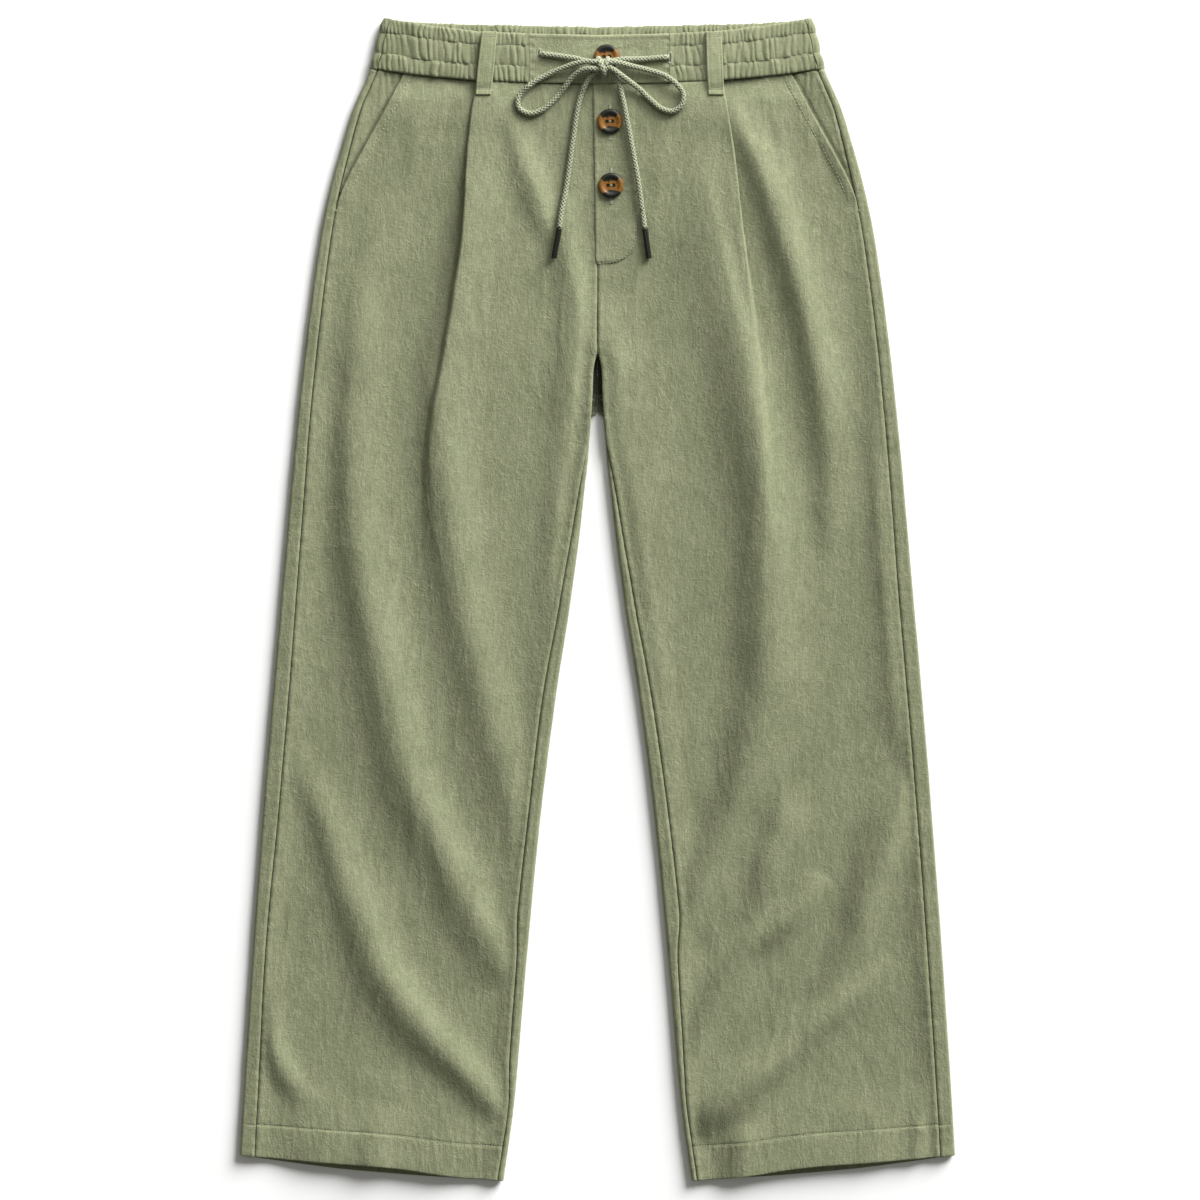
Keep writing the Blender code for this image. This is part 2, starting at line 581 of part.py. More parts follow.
def back_band_turn(side, across, reach):
    # From its seam on top, round the edge to the floor.
    radius = BAND_HEIGHT / 2
    inner_radius = radius - BAND_CLOTH
    centre = reach - radius
    spots = [(reach - BAND_SEAM, reach - BAND_SEAM, 0.0)]
    for angle in np.radians((0, 45, 90, 135, 180)):
        spots.append((centre + radius * math.sin(angle), centre + inner_radius * math.sin(angle), angle))
    outer, inner = [], []
    for out, inner_out, angle in spots:
        down = back_band_down(out, across)
        swelled = 0.9 * puff_at(across) ** 0.7 * max(math.cos(angle), 0)
        outer.append(place(side, out, down, radius + radius * math.cos(angle) + swelled))
        inner.append(place(side, inner_out, down, radius + inner_radius * math.cos(angle)))
    return outer, inner


def back_band_middle(across, half):
    # The part on the floor. Only its top puff shows, over the front band's edge.
    shown = puff_at(across) if across < 1 else 0.0
    outer, inner = [], []
    for i in range(1, 2 * BACK_GATHERS):
        at = half * (i / BACK_GATHERS - 1)
        side = "right" if at < 0 else "left"
        down = back_band_down(abs(at), across)
        ridge = (0.25 + 0.75 * shown) * (0.6 if i % 2 else -0.1) if across < 1 else 0.0
        outer.append(place(side, abs(at), down, 0))
        inner.append(place(side, abs(at), down, BAND_CLOTH + 0.6 * shown + ridge))
    return outer, inner


def band_top(side, out, down):
    # Highest point of the front band under something that lies on it.
    plain = out < PLAIN_HALF[side]
    return band_under(out) + (PLAIN_CLOTH if plain else BAND_CLOTH + PUFF + GATHER)


# Pieces on the front.

PLACKET_CLOTH = 1.2
PLACKET = table("down inner outer", (58, 4.1, 34.6), (132, 2.7, 34.6), (190, 2.0, 34.4), (203, 1.9, 30.5),
                (210, 1.8, 23.5), (214, 1.7, 13), (215.6, 1.7, 5))


def placket_base(out, down):
    # It lies on the left front, and its folded edge on the right one.
    beneath = front_top("left", max(out, 0.5), down)
    if out < 0.5:
        beneath = max(beneath, front_top("right", max(-out, 0.5), down))
    return beneath + GAP


def placket_top(out, down):
    return placket_base(out, down) + PLACKET_CLOTH


def fly_placket(finish):
    # The left front laps over the right one here, closes with three buttons and ends in a curve.
    outside, inside = [], []
    for down in (0, 66, 80, 95, 112, 130, 148, 166, 180, 190, 197, 203, 207, 210, 212.5, 214.4):
        top, under = [], []
        start, end = -curve(PLACKET, "inner", down), curve(PLACKET, "outer", down)
        for across in (0, 0.06, 0.3, 0.55, 0.8, 0.96, 1):
            out = start + (end - start) * across
            side = "left" if out >= 0 else "right"
            at_down = down if down else band_line("bottom", abs(out)) + GAP
            base = placket_base(out, at_down)
            rounded = 0.4 if across in (0, 1) else 0.0
            top.append(place(side, abs(out), at_down, base + PLACKET_CLOTH - rounded))
            under.append(place(side, abs(out), at_down, base))
        outside.append(top)
        inside.append(under)
    return wall_solid("fly_placket", outside, inside, finish)


LOOP_WIDTH = 14.0
LOOP_CLOTH = 1.6
LOOPS = {
    "right": table("down out", (12.6, 94.3), (67.8, 99.8)),
    "left": table("down out", (12.6, 101.2), (67.8, 103.6)),
}


# The loop bows up over the band and steps down to the front below it.
LOOP_ROWS = table("down bow", (12.6, 0.1), (16, 0.5), (22, 1.0), (34, 1.2), (46, 1.0), (53, 0.6),
                  (57.5, 0.2), (62, 0), (67.8, 0))
LOOP_ACROSS = (-0.5, -0.44, 0, 0.44, 0.5)
BAND_END = 56.5          # the band's lower edge, at the loops
STEP_END = 60.0


def loop_base(side, centre, down):
    # The highest thing under a row of the loop.
    if BAND_END < down < STEP_END:
        return band_top(side, centre, down)
    beneath = band_top if down < BAND_END else front_top
    return max(beneath(side, centre + LOOP_WIDTH * share, down) for share in LOOP_ACROSS)


def belt_loop(side, finish):
    outside, inside = [], []
    for down, bow in zip(LOOP_ROWS["down"], LOOP_ROWS["bow"]):
        top, under = [], []
        centre = float(np.interp(down, LOOPS[side]["down"], LOOPS[side]["out"]))
        base = loop_base(side, centre, down) + GAP + bow
        for share in LOOP_ACROSS:
            out = centre + LOOP_WIDTH * share
            rounded = 0.4 if abs(share) == 0.5 else 0.0
            top.append(place(side, out, down, base + LOOP_CLOTH - rounded))
            under.append(place(side, out, down, base))
        outside.append(top)
        inside.append(under)
    return wall_solid("belt_loop_" + side, outside, inside, finish)


BUTTON_RADIUS = 11.0
BUTTON_HEIGHT = 3.2
HOLE_RADIUS = 1.35
HOLE_SPACING = 4.7
BUTTON_PROFILE = ((0, 2.1), (5.4, 2.1), (7.4, 3.0), (9.6, 3.2), (11.0, 1.9), (10.4, 0.4), (9.4, 0), (0, 0))
BUTTONS = {"top": (8.1, 34.7), "middle": (10.8, 90.9), "lower": (11.8, 146.6)}


def button(name, finish):
    # A dished disc turned about its own axis, with two sewing holes.
    out, down = BUTTONS[name]
    beneath = (lambda *at: band_top("left", *at)) if name == "top" else placket_top
    reach = 0.85 * BUTTON_RADIUS
    above, below = beneath(out, down - reach), beneath(out, down + reach)
    near, far = beneath(out - reach, down), beneath(out + reach, down)
    base = max(beneath(out, down), (above + below) / 2, (near + far) / 2)
    form = bmesh.new()
    profile = [form.verts.new((radius * MM, 0, height * MM)) for radius, height in BUTTON_PROFILE]
    edges = [form.edges.new(pair) for pair in zip(profile, profile[1:])]
    bmesh.ops.spin(form, geom=profile + edges, cent=(0, 0, 0), axis=(0, 0, 1), angle=2 * math.pi, steps=24,
                   use_duplicate=False)
    bmesh.ops.remove_doubles(form, verts=form.verts, dist=0.00001)
    bmesh.ops.recalc_face_normals(form, faces=form.faces)
    mesh = bpy.data.meshes.new("button_" + name)
    form.to_mesh(mesh)
    form.free()
    made = add_object("button_" + name, mesh, finish)
    made.location = place("left", out, down, base + 1.5 * GAP)
    made.rotation_euler = (math.atan2(above - below, 2 * reach), math.atan2(near - far, 2 * reach), 0)
    for end in (-1, 1):
        bpy.ops.mesh.primitive_cylinder_add(vertices=12, radius=HOLE_RADIUS * MM, depth=10 * MM)
        cutter = bpy.context.object
        cutter.name = "hole_cutter"
        cutter.parent = made
        cutter.location = (end * HOLE_SPACING / 2 * MM, 0, 1.5 * MM)
        cutter.hide_render = True
        cutter.display_type = "WIRE"
        cut = made.modifiers.new("Hole", "BOOLEAN")
        cut.operation = "DIFFERENCE"
        cut.solver = "EXACT"
        cut.object = cutter
    return made


# The drawstring.

CORD = 4.8               # diameter
CORD_STEP = {True: 1.75, False: 2.4}     # diameters from point to point, in a loop and elsewhere
KNOT = {"across": 5.4, "down": 43.2, "half_width": 4.6, "half_length": 8.2}
# Each route runs over what it lies on. Across counts from the centre line towards the wearer's left, and
# lift is over the cloth or band beneath.
ROUTE = "across down lift"
LOWER = 4.3              # lift of the strands that cross the top button
UPPER = 9.5              # lift of the strands that lie on those
ROUTES = {
    "drawstring_lead_right": table(
        ROUTE, (-50.6, 32.2, 0), (-42, 32.9, 0), (-30, 34.6, 0.3), (-19, 36.4, 1.6), (-10.5, 38.6, 3.6),
        (-2, 40.4, LOWER)),
    "drawstring_lead_left": table(
        ROUTE, (62.8, 35.1, 0), (53, 35.6, 0), (42.4, 36.6, 0.3), (31, 37, 1.8), (21, 37.3, 3.8),
        (12.8, 38.6, LOWER)),
    "drawstring_loop_right": table(
        ROUTE, (-2.2, 39.9, UPPER), (-9, 39.8, 8.6), (-18, 41, 7.4), (-32, 45.5, 4.5), (-44, 50.6, 2),
        (-55, 56.6, 0.8), (-64, 64, 0.3), (-69.3, 71.2, 0.1), (-68.6, 79.2, 0), (-60, 84, 0),
        (-49.4, 81.6, 0.1), (-40.4, 74.6, 0.3), (-30.2, 63.2, 0.8), (-21.5, 52.5, 4), (-12.6, 46.6, 8),
        (-2.2, 45.9, UPPER)),
    "drawstring_loop_left": table(
        ROUTE, (13, 46.1, UPPER), (18, 49.6, 9.4), (26, 55.2, 6.4), (36, 62.6, 1.6), (46.6, 72.4, 0.3),
        (56.2, 80, 0.1), (65.2, 82.2, 0), (73.6, 76.6, 0), (75, 68, 0.2), (69, 58.8, 0.8),
        (59.4, 51.6, 1.4), (43.6, 46.4, 3.6),
        (28, 42.8, 6.2), (20, 40.9, 8.2), (13, 40.2, UPPER)),
    "drawstring_tail_right": table(
        ROUTE, (-2.4, 48.6, LOWER), (-7.6, 54, 2.2), (-12, 62, 0.4), (-15.6, 72, 0), (-18.8, 88.4, 0),
        (-21.4, 105.4, 0), (-24.6, 129, 0), (-28.4, 153.6, 0), (-32, 172.8, 0), (-33.2, 183.4, 0)),
    "drawstring_tail_left": table(
        ROUTE, (13.4, 48.4, LOWER), (18.6, 58, 2.4), (22.2, 72, 1.4), (25.4, 88.4, 1.2), (28.6, 105.4, 1),
        (32.2, 124.7, 1), (35.6, 143.5, 0.7), (38.6, 165, 0), (41.2, 183.4, 0)),
}
TIPS = {"right": ((-33.3, 184.2), (-38.2, 210.4)), "left": ((41.3, 184.2), (45, 210.4))}
TIP_RADIUS = 2.4


def under_cord(across, down):
    # Highest thing that a cord lies on there, apart from the top button.
    side = "left" if across >= 0 else "right"
    out = abs(across)
    if down < band_line("bottom", out) + 1:
        return band_top(side, out, down)
    top = front_top(side, out, down)
    if -5 < across < 37 and down < 214:
        top = placket_top(across, down)
    step = ease(10, 1, down - band_line("bottom", out)) if down < band_line("bottom", out) + 10 else 0.0
    return top + max(band_top(side, out, down) - top, 0) * step


def route_points(route, spacing):
    # Even points along a smooth curve through the route's own points.
    path = np.stack([route["across"], route["down"]], axis=1)
    along = np.concatenate(([0], np.cumsum(np.linalg.norm(np.diff(path, axis=0), axis=1))))
    lane = {"along": along, "across": route["across"], "down": route["down"], "lift": route["lift"]}
    points = []
    for at in np.linspace(0, along[-1], round(along[-1] / spacing) + 1):
        points.append([spline(lane, name, at) for name in ("across", "down", "lift")])
    return points


def spline(values, column, at):
    # A rounder curve than the one for outlines: it may swing a little past its rows.
    x = values["along"]
    y = values[column]
    slope = np.gradient(y, x)
    i = min(int(np.searchsorted(x, at, side="right")) - 1, len(x) - 2)
    step = x[i + 1] - x[i]
    t = (at - x[i]) / step
    start = (1 + 2 * t) * (1 - t) ** 2 * y[i] + t * (1 - t) ** 2 * step * slope[i]
    return float(start + t * t * (3 - 2 * t) * y[i + 1] - t * t * (1 - t) * step * slope[i + 1])


def cord_place(across, down, height):
    return (across * MM, (LENGTH / 2 - down) * MM, height * MM)


def cord(name, finish):
    line = bpy.data.curves.new(name, "CURVE")
    line.dimensions = "3D"
    line.bevel_depth = CORD / 2 * MM
    line.bevel_resolution = 2
    line.use_fill_caps = True
    points = []
    for across, down, lift in route_points(ROUTES[name], CORD_STEP["loop" in name] * CORD):
        beneath = max(under_cord(across + dx, down + dy) for dx in (-2.5, 0, 2.5) for dy in (-2.5, 2.5))
        points.append(cord_place(across, down, beneath + GAP + CORD / 2 + lift))
    path = line.splines.new("POLY")
    path.points.add(len(points) - 1)
    for spot, point in zip(path.points, points):
        spot.co = (*point, 1)
    made = bpy.data.objects.new(name, line)
    bpy.context.scene.collection.objects.link(made)
    line.materials.append(finish)
    return made


def rounded_bar(name, start, end, half_sizes, finish, rings, sides):
    # A bar with rounded ends, between two points, its section an ellipse.
    start, end = np.array(start), np.array(end)
    along = (end - start) / np.linalg.norm(end - start)
    across = np.cross(along, (0, 0, 1))
    across /= np.linalg.norm(across)
    up = np.cross(across, along)
    form = bmesh.new()
    loops = []
    for share, size in rings:
        middle = start + (end - start) * share
        loop = []
        for i in range(sides):
            angle = 2 * math.pi * i / sides
            offset = across * half_sizes[0] * math.cos(angle) + up * half_sizes[1] * math.sin(angle)
            loop.append(form.verts.new(middle + offset * size * MM))
        loops.append(loop)
    for first, second in zip(loops, loops[1:]):
        for i in range(sides):
            form.faces.new((first[i], first[(i + 1) % sides], second[(i + 1) % sides], second[i]))
    form.faces.new(loops[0])
    form.faces.new(loops[-1])
    bmesh.ops.recalc_face_normals(form, faces=form.faces)
    mesh = bpy.data.meshes.new(name)
    form.to_mesh(mesh)
    form.free()
    return add_object(name, mesh, finish)


def knot(finish):
    # The wrap round the middle of the bow.
    base = band_top("left", KNOT["across"], 40) + GAP + CORD / 2
    low, high = base + LOWER - CORD / 2, base + UPPER + CORD / 2
    middle = (low + high) / 2
    start = cord_place(KNOT["across"], KNOT["down"] - KNOT["half_length"], middle)
    end = cord_place(KNOT["across"], KNOT["down"] + KNOT["half_length"], middle)
    rings = ((0, 0.5), (0.08, 0.78), (0.25, 0.97), (0.5, 1), (0.75, 0.97), (0.92, 0.78), (1, 0.5))
    half_sizes = (KNOT["half_width"], (high - low) / 2)
    return rounded_bar("drawstring_knot", start, end, half_sizes, finish, rings, 12)


def cord_tip(side, finish):
    (across_1, down_1), (across_2, down_2) = TIPS[side]
    ends = []
    for across, down in ((across_1, down_1), (across_2, down_2)):
        ends.append(max(under_cord(across + dx, down + dy) for dx in (-2.5, 0, 2.5) for dy in (-2, 2)))
    lift = GAP + TIP_RADIUS
    start = cord_place(across_1, down_1, ends[0] + lift)
    end = cord_place(across_2, down_2, ends[1] + lift)
    rings = ((0, 0.86), (0.03, 1), (0.5, 1), (0.97, 1), (1, 0.86))
    return rounded_bar("cord_tip_" + side, start, end, (TIP_RADIUS, TIP_RADIUS), finish, rings, 12)


# The whole garment.

LINEN = (0.244, 0.268, 0.160)
CORD_COLOUR = (0.330, 0.350, 0.240)
SHELL = (0.190, 0.085, 0.022)
TIP_COLOUR = (0.020, 0.015, 0.012)


def build():
    for old in list(bpy.data.objects):
        bpy.data.objects.remove(old)
    linen = material("linen", LINEN, 0.95)
    cotton = material("cord_cotton", CORD_COLOUR, 0.9)
    shell = material("tortoiseshell", SHELL, 0.25)
    plastic = material("tip_plastic", TIP_COLOUR, 0.3)
    for side in SIDES:
        panel_solid("front_" + side, side, FRONT_CUT, front_section, linen)
        panel_solid("back_" + side, side, BACK_CUT, back_section, linen)
        facing_solid(side, linen)
        shirred_band(side, linen)
        belt_loop(side, linen)
        cord_tip(side, plastic)
    centre_band(linen)
    back_band(linen)
    fly_placket(linen)
    for name in BUTTONS:
        button(name, shell)
    for name in ROUTES:
        cord(name, cotton)
    knot(cotton)


build()
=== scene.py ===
# Linen drawstring trousers, laid flat and face up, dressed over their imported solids.
# Garment sizes are millimetres: out from the centre line, down from the top of the waistband and
# height above the floor. Points turn into metres in placed().
import math

import bmesh
import bpy
import numpy as np
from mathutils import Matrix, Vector


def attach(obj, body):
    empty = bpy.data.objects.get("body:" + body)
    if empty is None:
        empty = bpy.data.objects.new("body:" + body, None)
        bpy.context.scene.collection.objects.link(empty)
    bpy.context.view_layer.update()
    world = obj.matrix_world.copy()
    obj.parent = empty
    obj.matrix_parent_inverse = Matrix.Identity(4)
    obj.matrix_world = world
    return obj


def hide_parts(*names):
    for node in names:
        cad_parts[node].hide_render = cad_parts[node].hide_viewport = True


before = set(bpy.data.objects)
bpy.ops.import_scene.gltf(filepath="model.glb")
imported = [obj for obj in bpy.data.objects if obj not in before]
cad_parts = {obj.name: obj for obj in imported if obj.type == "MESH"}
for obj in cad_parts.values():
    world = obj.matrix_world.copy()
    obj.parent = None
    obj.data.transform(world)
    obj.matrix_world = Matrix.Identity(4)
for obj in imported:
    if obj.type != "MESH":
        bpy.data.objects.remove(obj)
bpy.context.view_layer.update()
print("frame loaded:", len(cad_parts), "nodes")

mm = 0.001
sides = {"right": -1, "left": 1}
otherSide = {"right": "left", "left": "right"}
trousers = {
    "length": 1016.9,        # top of the waistband to the inner corner of a hem
    "gap": 0.3,              # between two pieces
    "cloth": 1.3,
    "hemCloth": 2.0,         # turned up at the hem
    "restHeight": 2.6,       # middle of the front cloth where it lies on the back
    "waistRow": 58.5,
    "hemStitch": 976.5,
    "hemRow": 1005.5,
    "hemArch": 6.2,          # rise of the front's middle at the hem
    "archReach": 62.0,       # how far in and up it fades
    "seamReach": 13.0,       # how far in from a seam its height shows
    "frontCrotch": 292.0,
    "backCrotch": 334.0,
    "crotchSwell": (352, 45, 1.5),   # where the inseam stands higher, over what length and by how much
    "pocketEnd": 163.0,
    "pocketGape": (112, 38, 3.0),    # the same for the pocket's edge, off its facing
    "pocketCover": (14, 27),         # how far in the front lies over the facing, in full and at most
}
gap = trousers["gap"]


# Reading tables, and the small shapes that the cloth is made from.

def table(names, *rows):
    return dict(zip(names.split(), np.array(rows, float).T))


def joined(*columns):
    return np.stack(np.broadcast_arrays(*columns), axis=-1)


def lengthAlong(line):
    return np.concatenate([[0], np.cumsum(np.linalg.norm(np.diff(line, axis=0), axis=1))])


def throughKnots(x, y, slope, at):
    at = np.clip(at, x[0], x[-1])
    i = np.clip(np.searchsorted(x, at, side="right") - 1, 0, len(x) - 2)
    step = x[i + 1] - x[i]
    t = (at - x[i]) / step
    start = (1 + 2 * t) * (1 - t) ** 2 * y[i] + t * (1 - t) ** 2 * step * slope[i]
    return start + t * t * (3 - 2 * t) * y[i + 1] - t * t * (1 - t) * step * slope[i + 1]


def curveAt(values, column, at):
    # Reads a column against the table's first one, as a smooth curve that never overshoots its rows.
    x = next(iter(values.values()))
    y = values[column]
    rise = np.diff(y) / np.diff(x)
    bends = rise[:-1] * rise[1:]
    sums = np.where(bends > 0, rise[:-1] + rise[1:], 1.0)
    slope = np.concatenate(([rise[0]], np.where(bends > 0, 2 * bends / sums, 0.0), [rise[-1]]))
    return throughKnots(x, y, slope, at)


def ease(start, end, at):
    t = np.clip((at - start) / (end - start), 0, 1)
    return t * t * (3 - 2 * t)


def bell(distance, width):
    return np.exp(-(distance / width) ** 2)


def roundOver(distance, radius, depth):
    # A drop of depth at an edge, rounded off over the radius.
    reach = 1 - np.clip(distance / radius, 0, 1)
    return -depth * (1 - np.sqrt(1 - reach ** 2))


def softNoise(x, y, seed):
    # Smooth random heights from -1 to 1, with one hill or hollow to a unit square.
    size = 64
    lattice = np.random.default_rng(seed).uniform(-1, 1, (size, size))
    x, y = np.broadcast_arrays(x, y)
    i, j = np.floor(x).astype(int), np.floor(y).astype(int)
    u, v = (t * t * t * (t * (t * 6 - 15) + 10) for t in (x - i, y - j))

    def along(line):
        return lattice[i % size, line % size] * (1 - u) + lattice[(i + 1) % size, line % size] * u

    return along(j) * (1 - v) + along(j + 1) * v


def crumple(across, down, width, length, lean, seed):
    # Soft-edged ridges, longer than they are wide and leaning off the downward line.
    turn = math.radians(lean)
    u = across * math.cos(turn) + down * math.sin(turn)
    v = down * math.cos(turn) - across * math.sin(turn)
    bend = softNoise(u / (2.2 * length), v / (2.2 * length), seed + 50) * length * 0.5
    field = softNoise((u + bend) / width, v / length, seed)
    return (1 - np.abs(field)) ** 2 - 0.42


# The cut: outline, seams, waistband lines and hems.

outerEdge = table(
    "down edge",
    (0, 186.8), (14, 191.2), (31, 194.7), (45, 198.6), (80, 213.5), (115, 224), (150, 233.6), (185, 241),
    (238, 249), (308, 257.7), (386, 265.6), (526, 278), (666, 290), (806, 300.6), (946, 309.8), (1000, 313),
)
innerEdge = table(
    "down edge",
    (292, 0.15), (308, 3.4), (334, 4.4), (386, 8.75), (421, 12.3), (456, 16.2), (491, 21), (526, 25.8),
    (561, 31.5), (596, 36.8), (666, 46), (736, 53.8), (806, 60.4), (876, 66.5), (946, 72.6), (1017, 82.4),
)
seamInset = table(
    "down side_right side_left inseam_right inseam_left",
    (36, 6.4, 6.0, 0, 0), (80, 6.5, 6.6, 0, 0), (168, 8.8, 9.6, 0, 0), (255, 10, 10.2, 0, 0),
    (369, 11, 11.2, 0, 0), (386, 11.4, 11.4, 2.3, 2.0), (430, 12.1, 11.9, 5.8, 5.3),
    (518, 13, 12.9, 9.6, 8.8), (605, 13.8, 12.9, 11.6, 11), (693, 13.4, 12.9, 10.9, 12.4),
    (780, 11.4, 12.9, 11.6, 13.4), (824, 11, 12.9, 8.8, 8.2), (911, 12.3, 12.9, 7.6, 6),
    (955, 12.8, 12.9, 4.6, 4.8), (1010, 13, 13, 5.1, 4.9),
)
edgeHeight = table(
    "down height",
    (44, 7.6), (80, 6.8), (130, 6.4), (250, 6.2), (940, 6.2), (975, 6.4), (1006, 6.6),
)
# The front rises from the waistband's seam in a soft puff before it sinks to its rest height.
waistRise = table(
    "down rise",
    (56, 3.4), (63, 4.6), (73, 5.9), (85, 5.7), (104, 4.2), (130, 2.8), (180, 1.4), (260, 0.4), (400, 0),
)
bandLines = table(
    "out top row_1 row_2 bottom back_top back_bottom",
    (0, 15.3, 26.3, 43.9, 58.2, 7.4, 50.6), (54, 14.2, 25.4, 42.8, 57.2, 6.3, 49.8),
    (104, 11.9, 23.8, 41.6, 55.2, 5.3, 49.0), (141, 7.6, 20, 38.5, 52, 4.2, 48.4),
    (160, 4.8, 17, 36.2, 49.9, 3.1, 48), (175, 2.2, 14.5, 33, 47.9, 1.6, 47.2),
    (187, 0.2, 13.4, 31.5, 46.0, 0.2, 46.0), (199, 0, 13.0, 30.8, 44.0, 0, 44.0),
)
frontHem = table(
    "out down",
    (82, 1016.8), (125, 1013.3), (170, 1006.6), (200, 1003.4), (225, 1001.8), (262, 998.9), (313, 994.2),
)
backHem = table(
    "out down",
    (82, 1016.8), (152, 1012.3), (191, 1009.2), (224, 1006.2), (262, 1001.4), (313, 994.2),
)
pocketEdge = table("down out", (44, 167), (84, 188), (112, 203.4), (145, 220.9), (163, 227.9))
frontCut = ("bottom", frontHem)
backCut = ("back_bottom", backHem)


def bandLine(name, out):
    return np.interp(out, bandLines["out"], bandLines[name])


def wallAt(row):
    turnedUp = ease(trousers["hemStitch"] - 1, trousers["hemStitch"] + 1, row)
    return trousers["cloth"] + (trousers["hemCloth"] - trousers["cloth"]) * turnedUp


def sideSeam(side, down):
    return curveAt(outerEdge, "edge", down) - curveAt(seamInset, "side_" + side, down)


def inseam(side, down):
    return curveAt(innerEdge, "edge", down) + curveAt(seamInset, "inseam_" + side, down)


def frontEdge(side, down):
    # The pocket's edge at the top, and the side seam below it.
    seam = sideSeam(side, down) - gap / 2
    return np.where(down < trousers["pocketEnd"], np.minimum(seam, curveAt(pocketEdge, "out", down)), seam)


def frontInner(side, down):
    return np.where(down > trousers["frontCrotch"], inseam(side, down) + gap / 2, gap / 2)


def rowDown(row, out, cut):
    # A panel's rows follow the waistband's lower edge at the top and the hem's line at the bottom.
    waist, hem = cut
    atWaist = np.clip(1 - (row - trousers["waistRow"]) / 170, 0, 1) ** 2
    atHem = np.clip((row - 500) / (trousers["hemRow"] - 500), 0, 1) ** 1.5
    waistCurve = bandLine(waist, out) + gap - trousers["waistRow"]
    return row + waistCurve * atWaist + (curveAt(hem, "down", out) - trousers["hemRow"]) * atHem


def onRow(row, cut, edge):
    # Where a line down the garment, such as a seam, crosses a row.
    out = edge(row)
    for _ in range(5):
        out = edge(rowDown(row, out, cut))
    return out


# The lie of the cloth: a pleat and the large soft folds of each front, then the smaller creases.

pleatLine = {
    "right": table(
        "down out", (56, 104.4), (90, 109.8), (122, 112.9), (183, 116), (246, 124.4), (298, 132.8),
        (350, 142), (390, 145), (440, 142), (530, 124), (660, 132), (820, 150), (1006, 162)),
    "left": table(
        "down out", (56, 108.6), (97, 115), (127, 119.4), (163, 122.9), (246, 132.6), (340, 141),
        (430, 146), (530, 144), (660, 140), (820, 150), (1006, 162)),
}
# The pleat's cloth turns under by an angle, runs flat and turns back. It opens out down the leg.
pleatShape = table(
    "down turn radius flat spread",
    (56, 180, 0.92, 12, 400), (90, 180, 0.95, 10, 150), (128, 172, 1.1, 7, 80), (165, 145, 1.4, 4.5, 56),
    (200, 112, 1.8, 3.2, 50), (240, 86, 2.2, 2.6, 46), (290, 64, 2.9, 2, 44), (340, 46, 4, 2.6, 42),
    (385, 31, 5.6, 4, 40), (430, 15, 8, 8, 38), (480, 4, 10, 18, 36), (560, 0, 10, 32, 34),
    (1010, 0, 10, 60, 34),
)


def fold(*rows):
    return table("out down height inward outward", *rows)


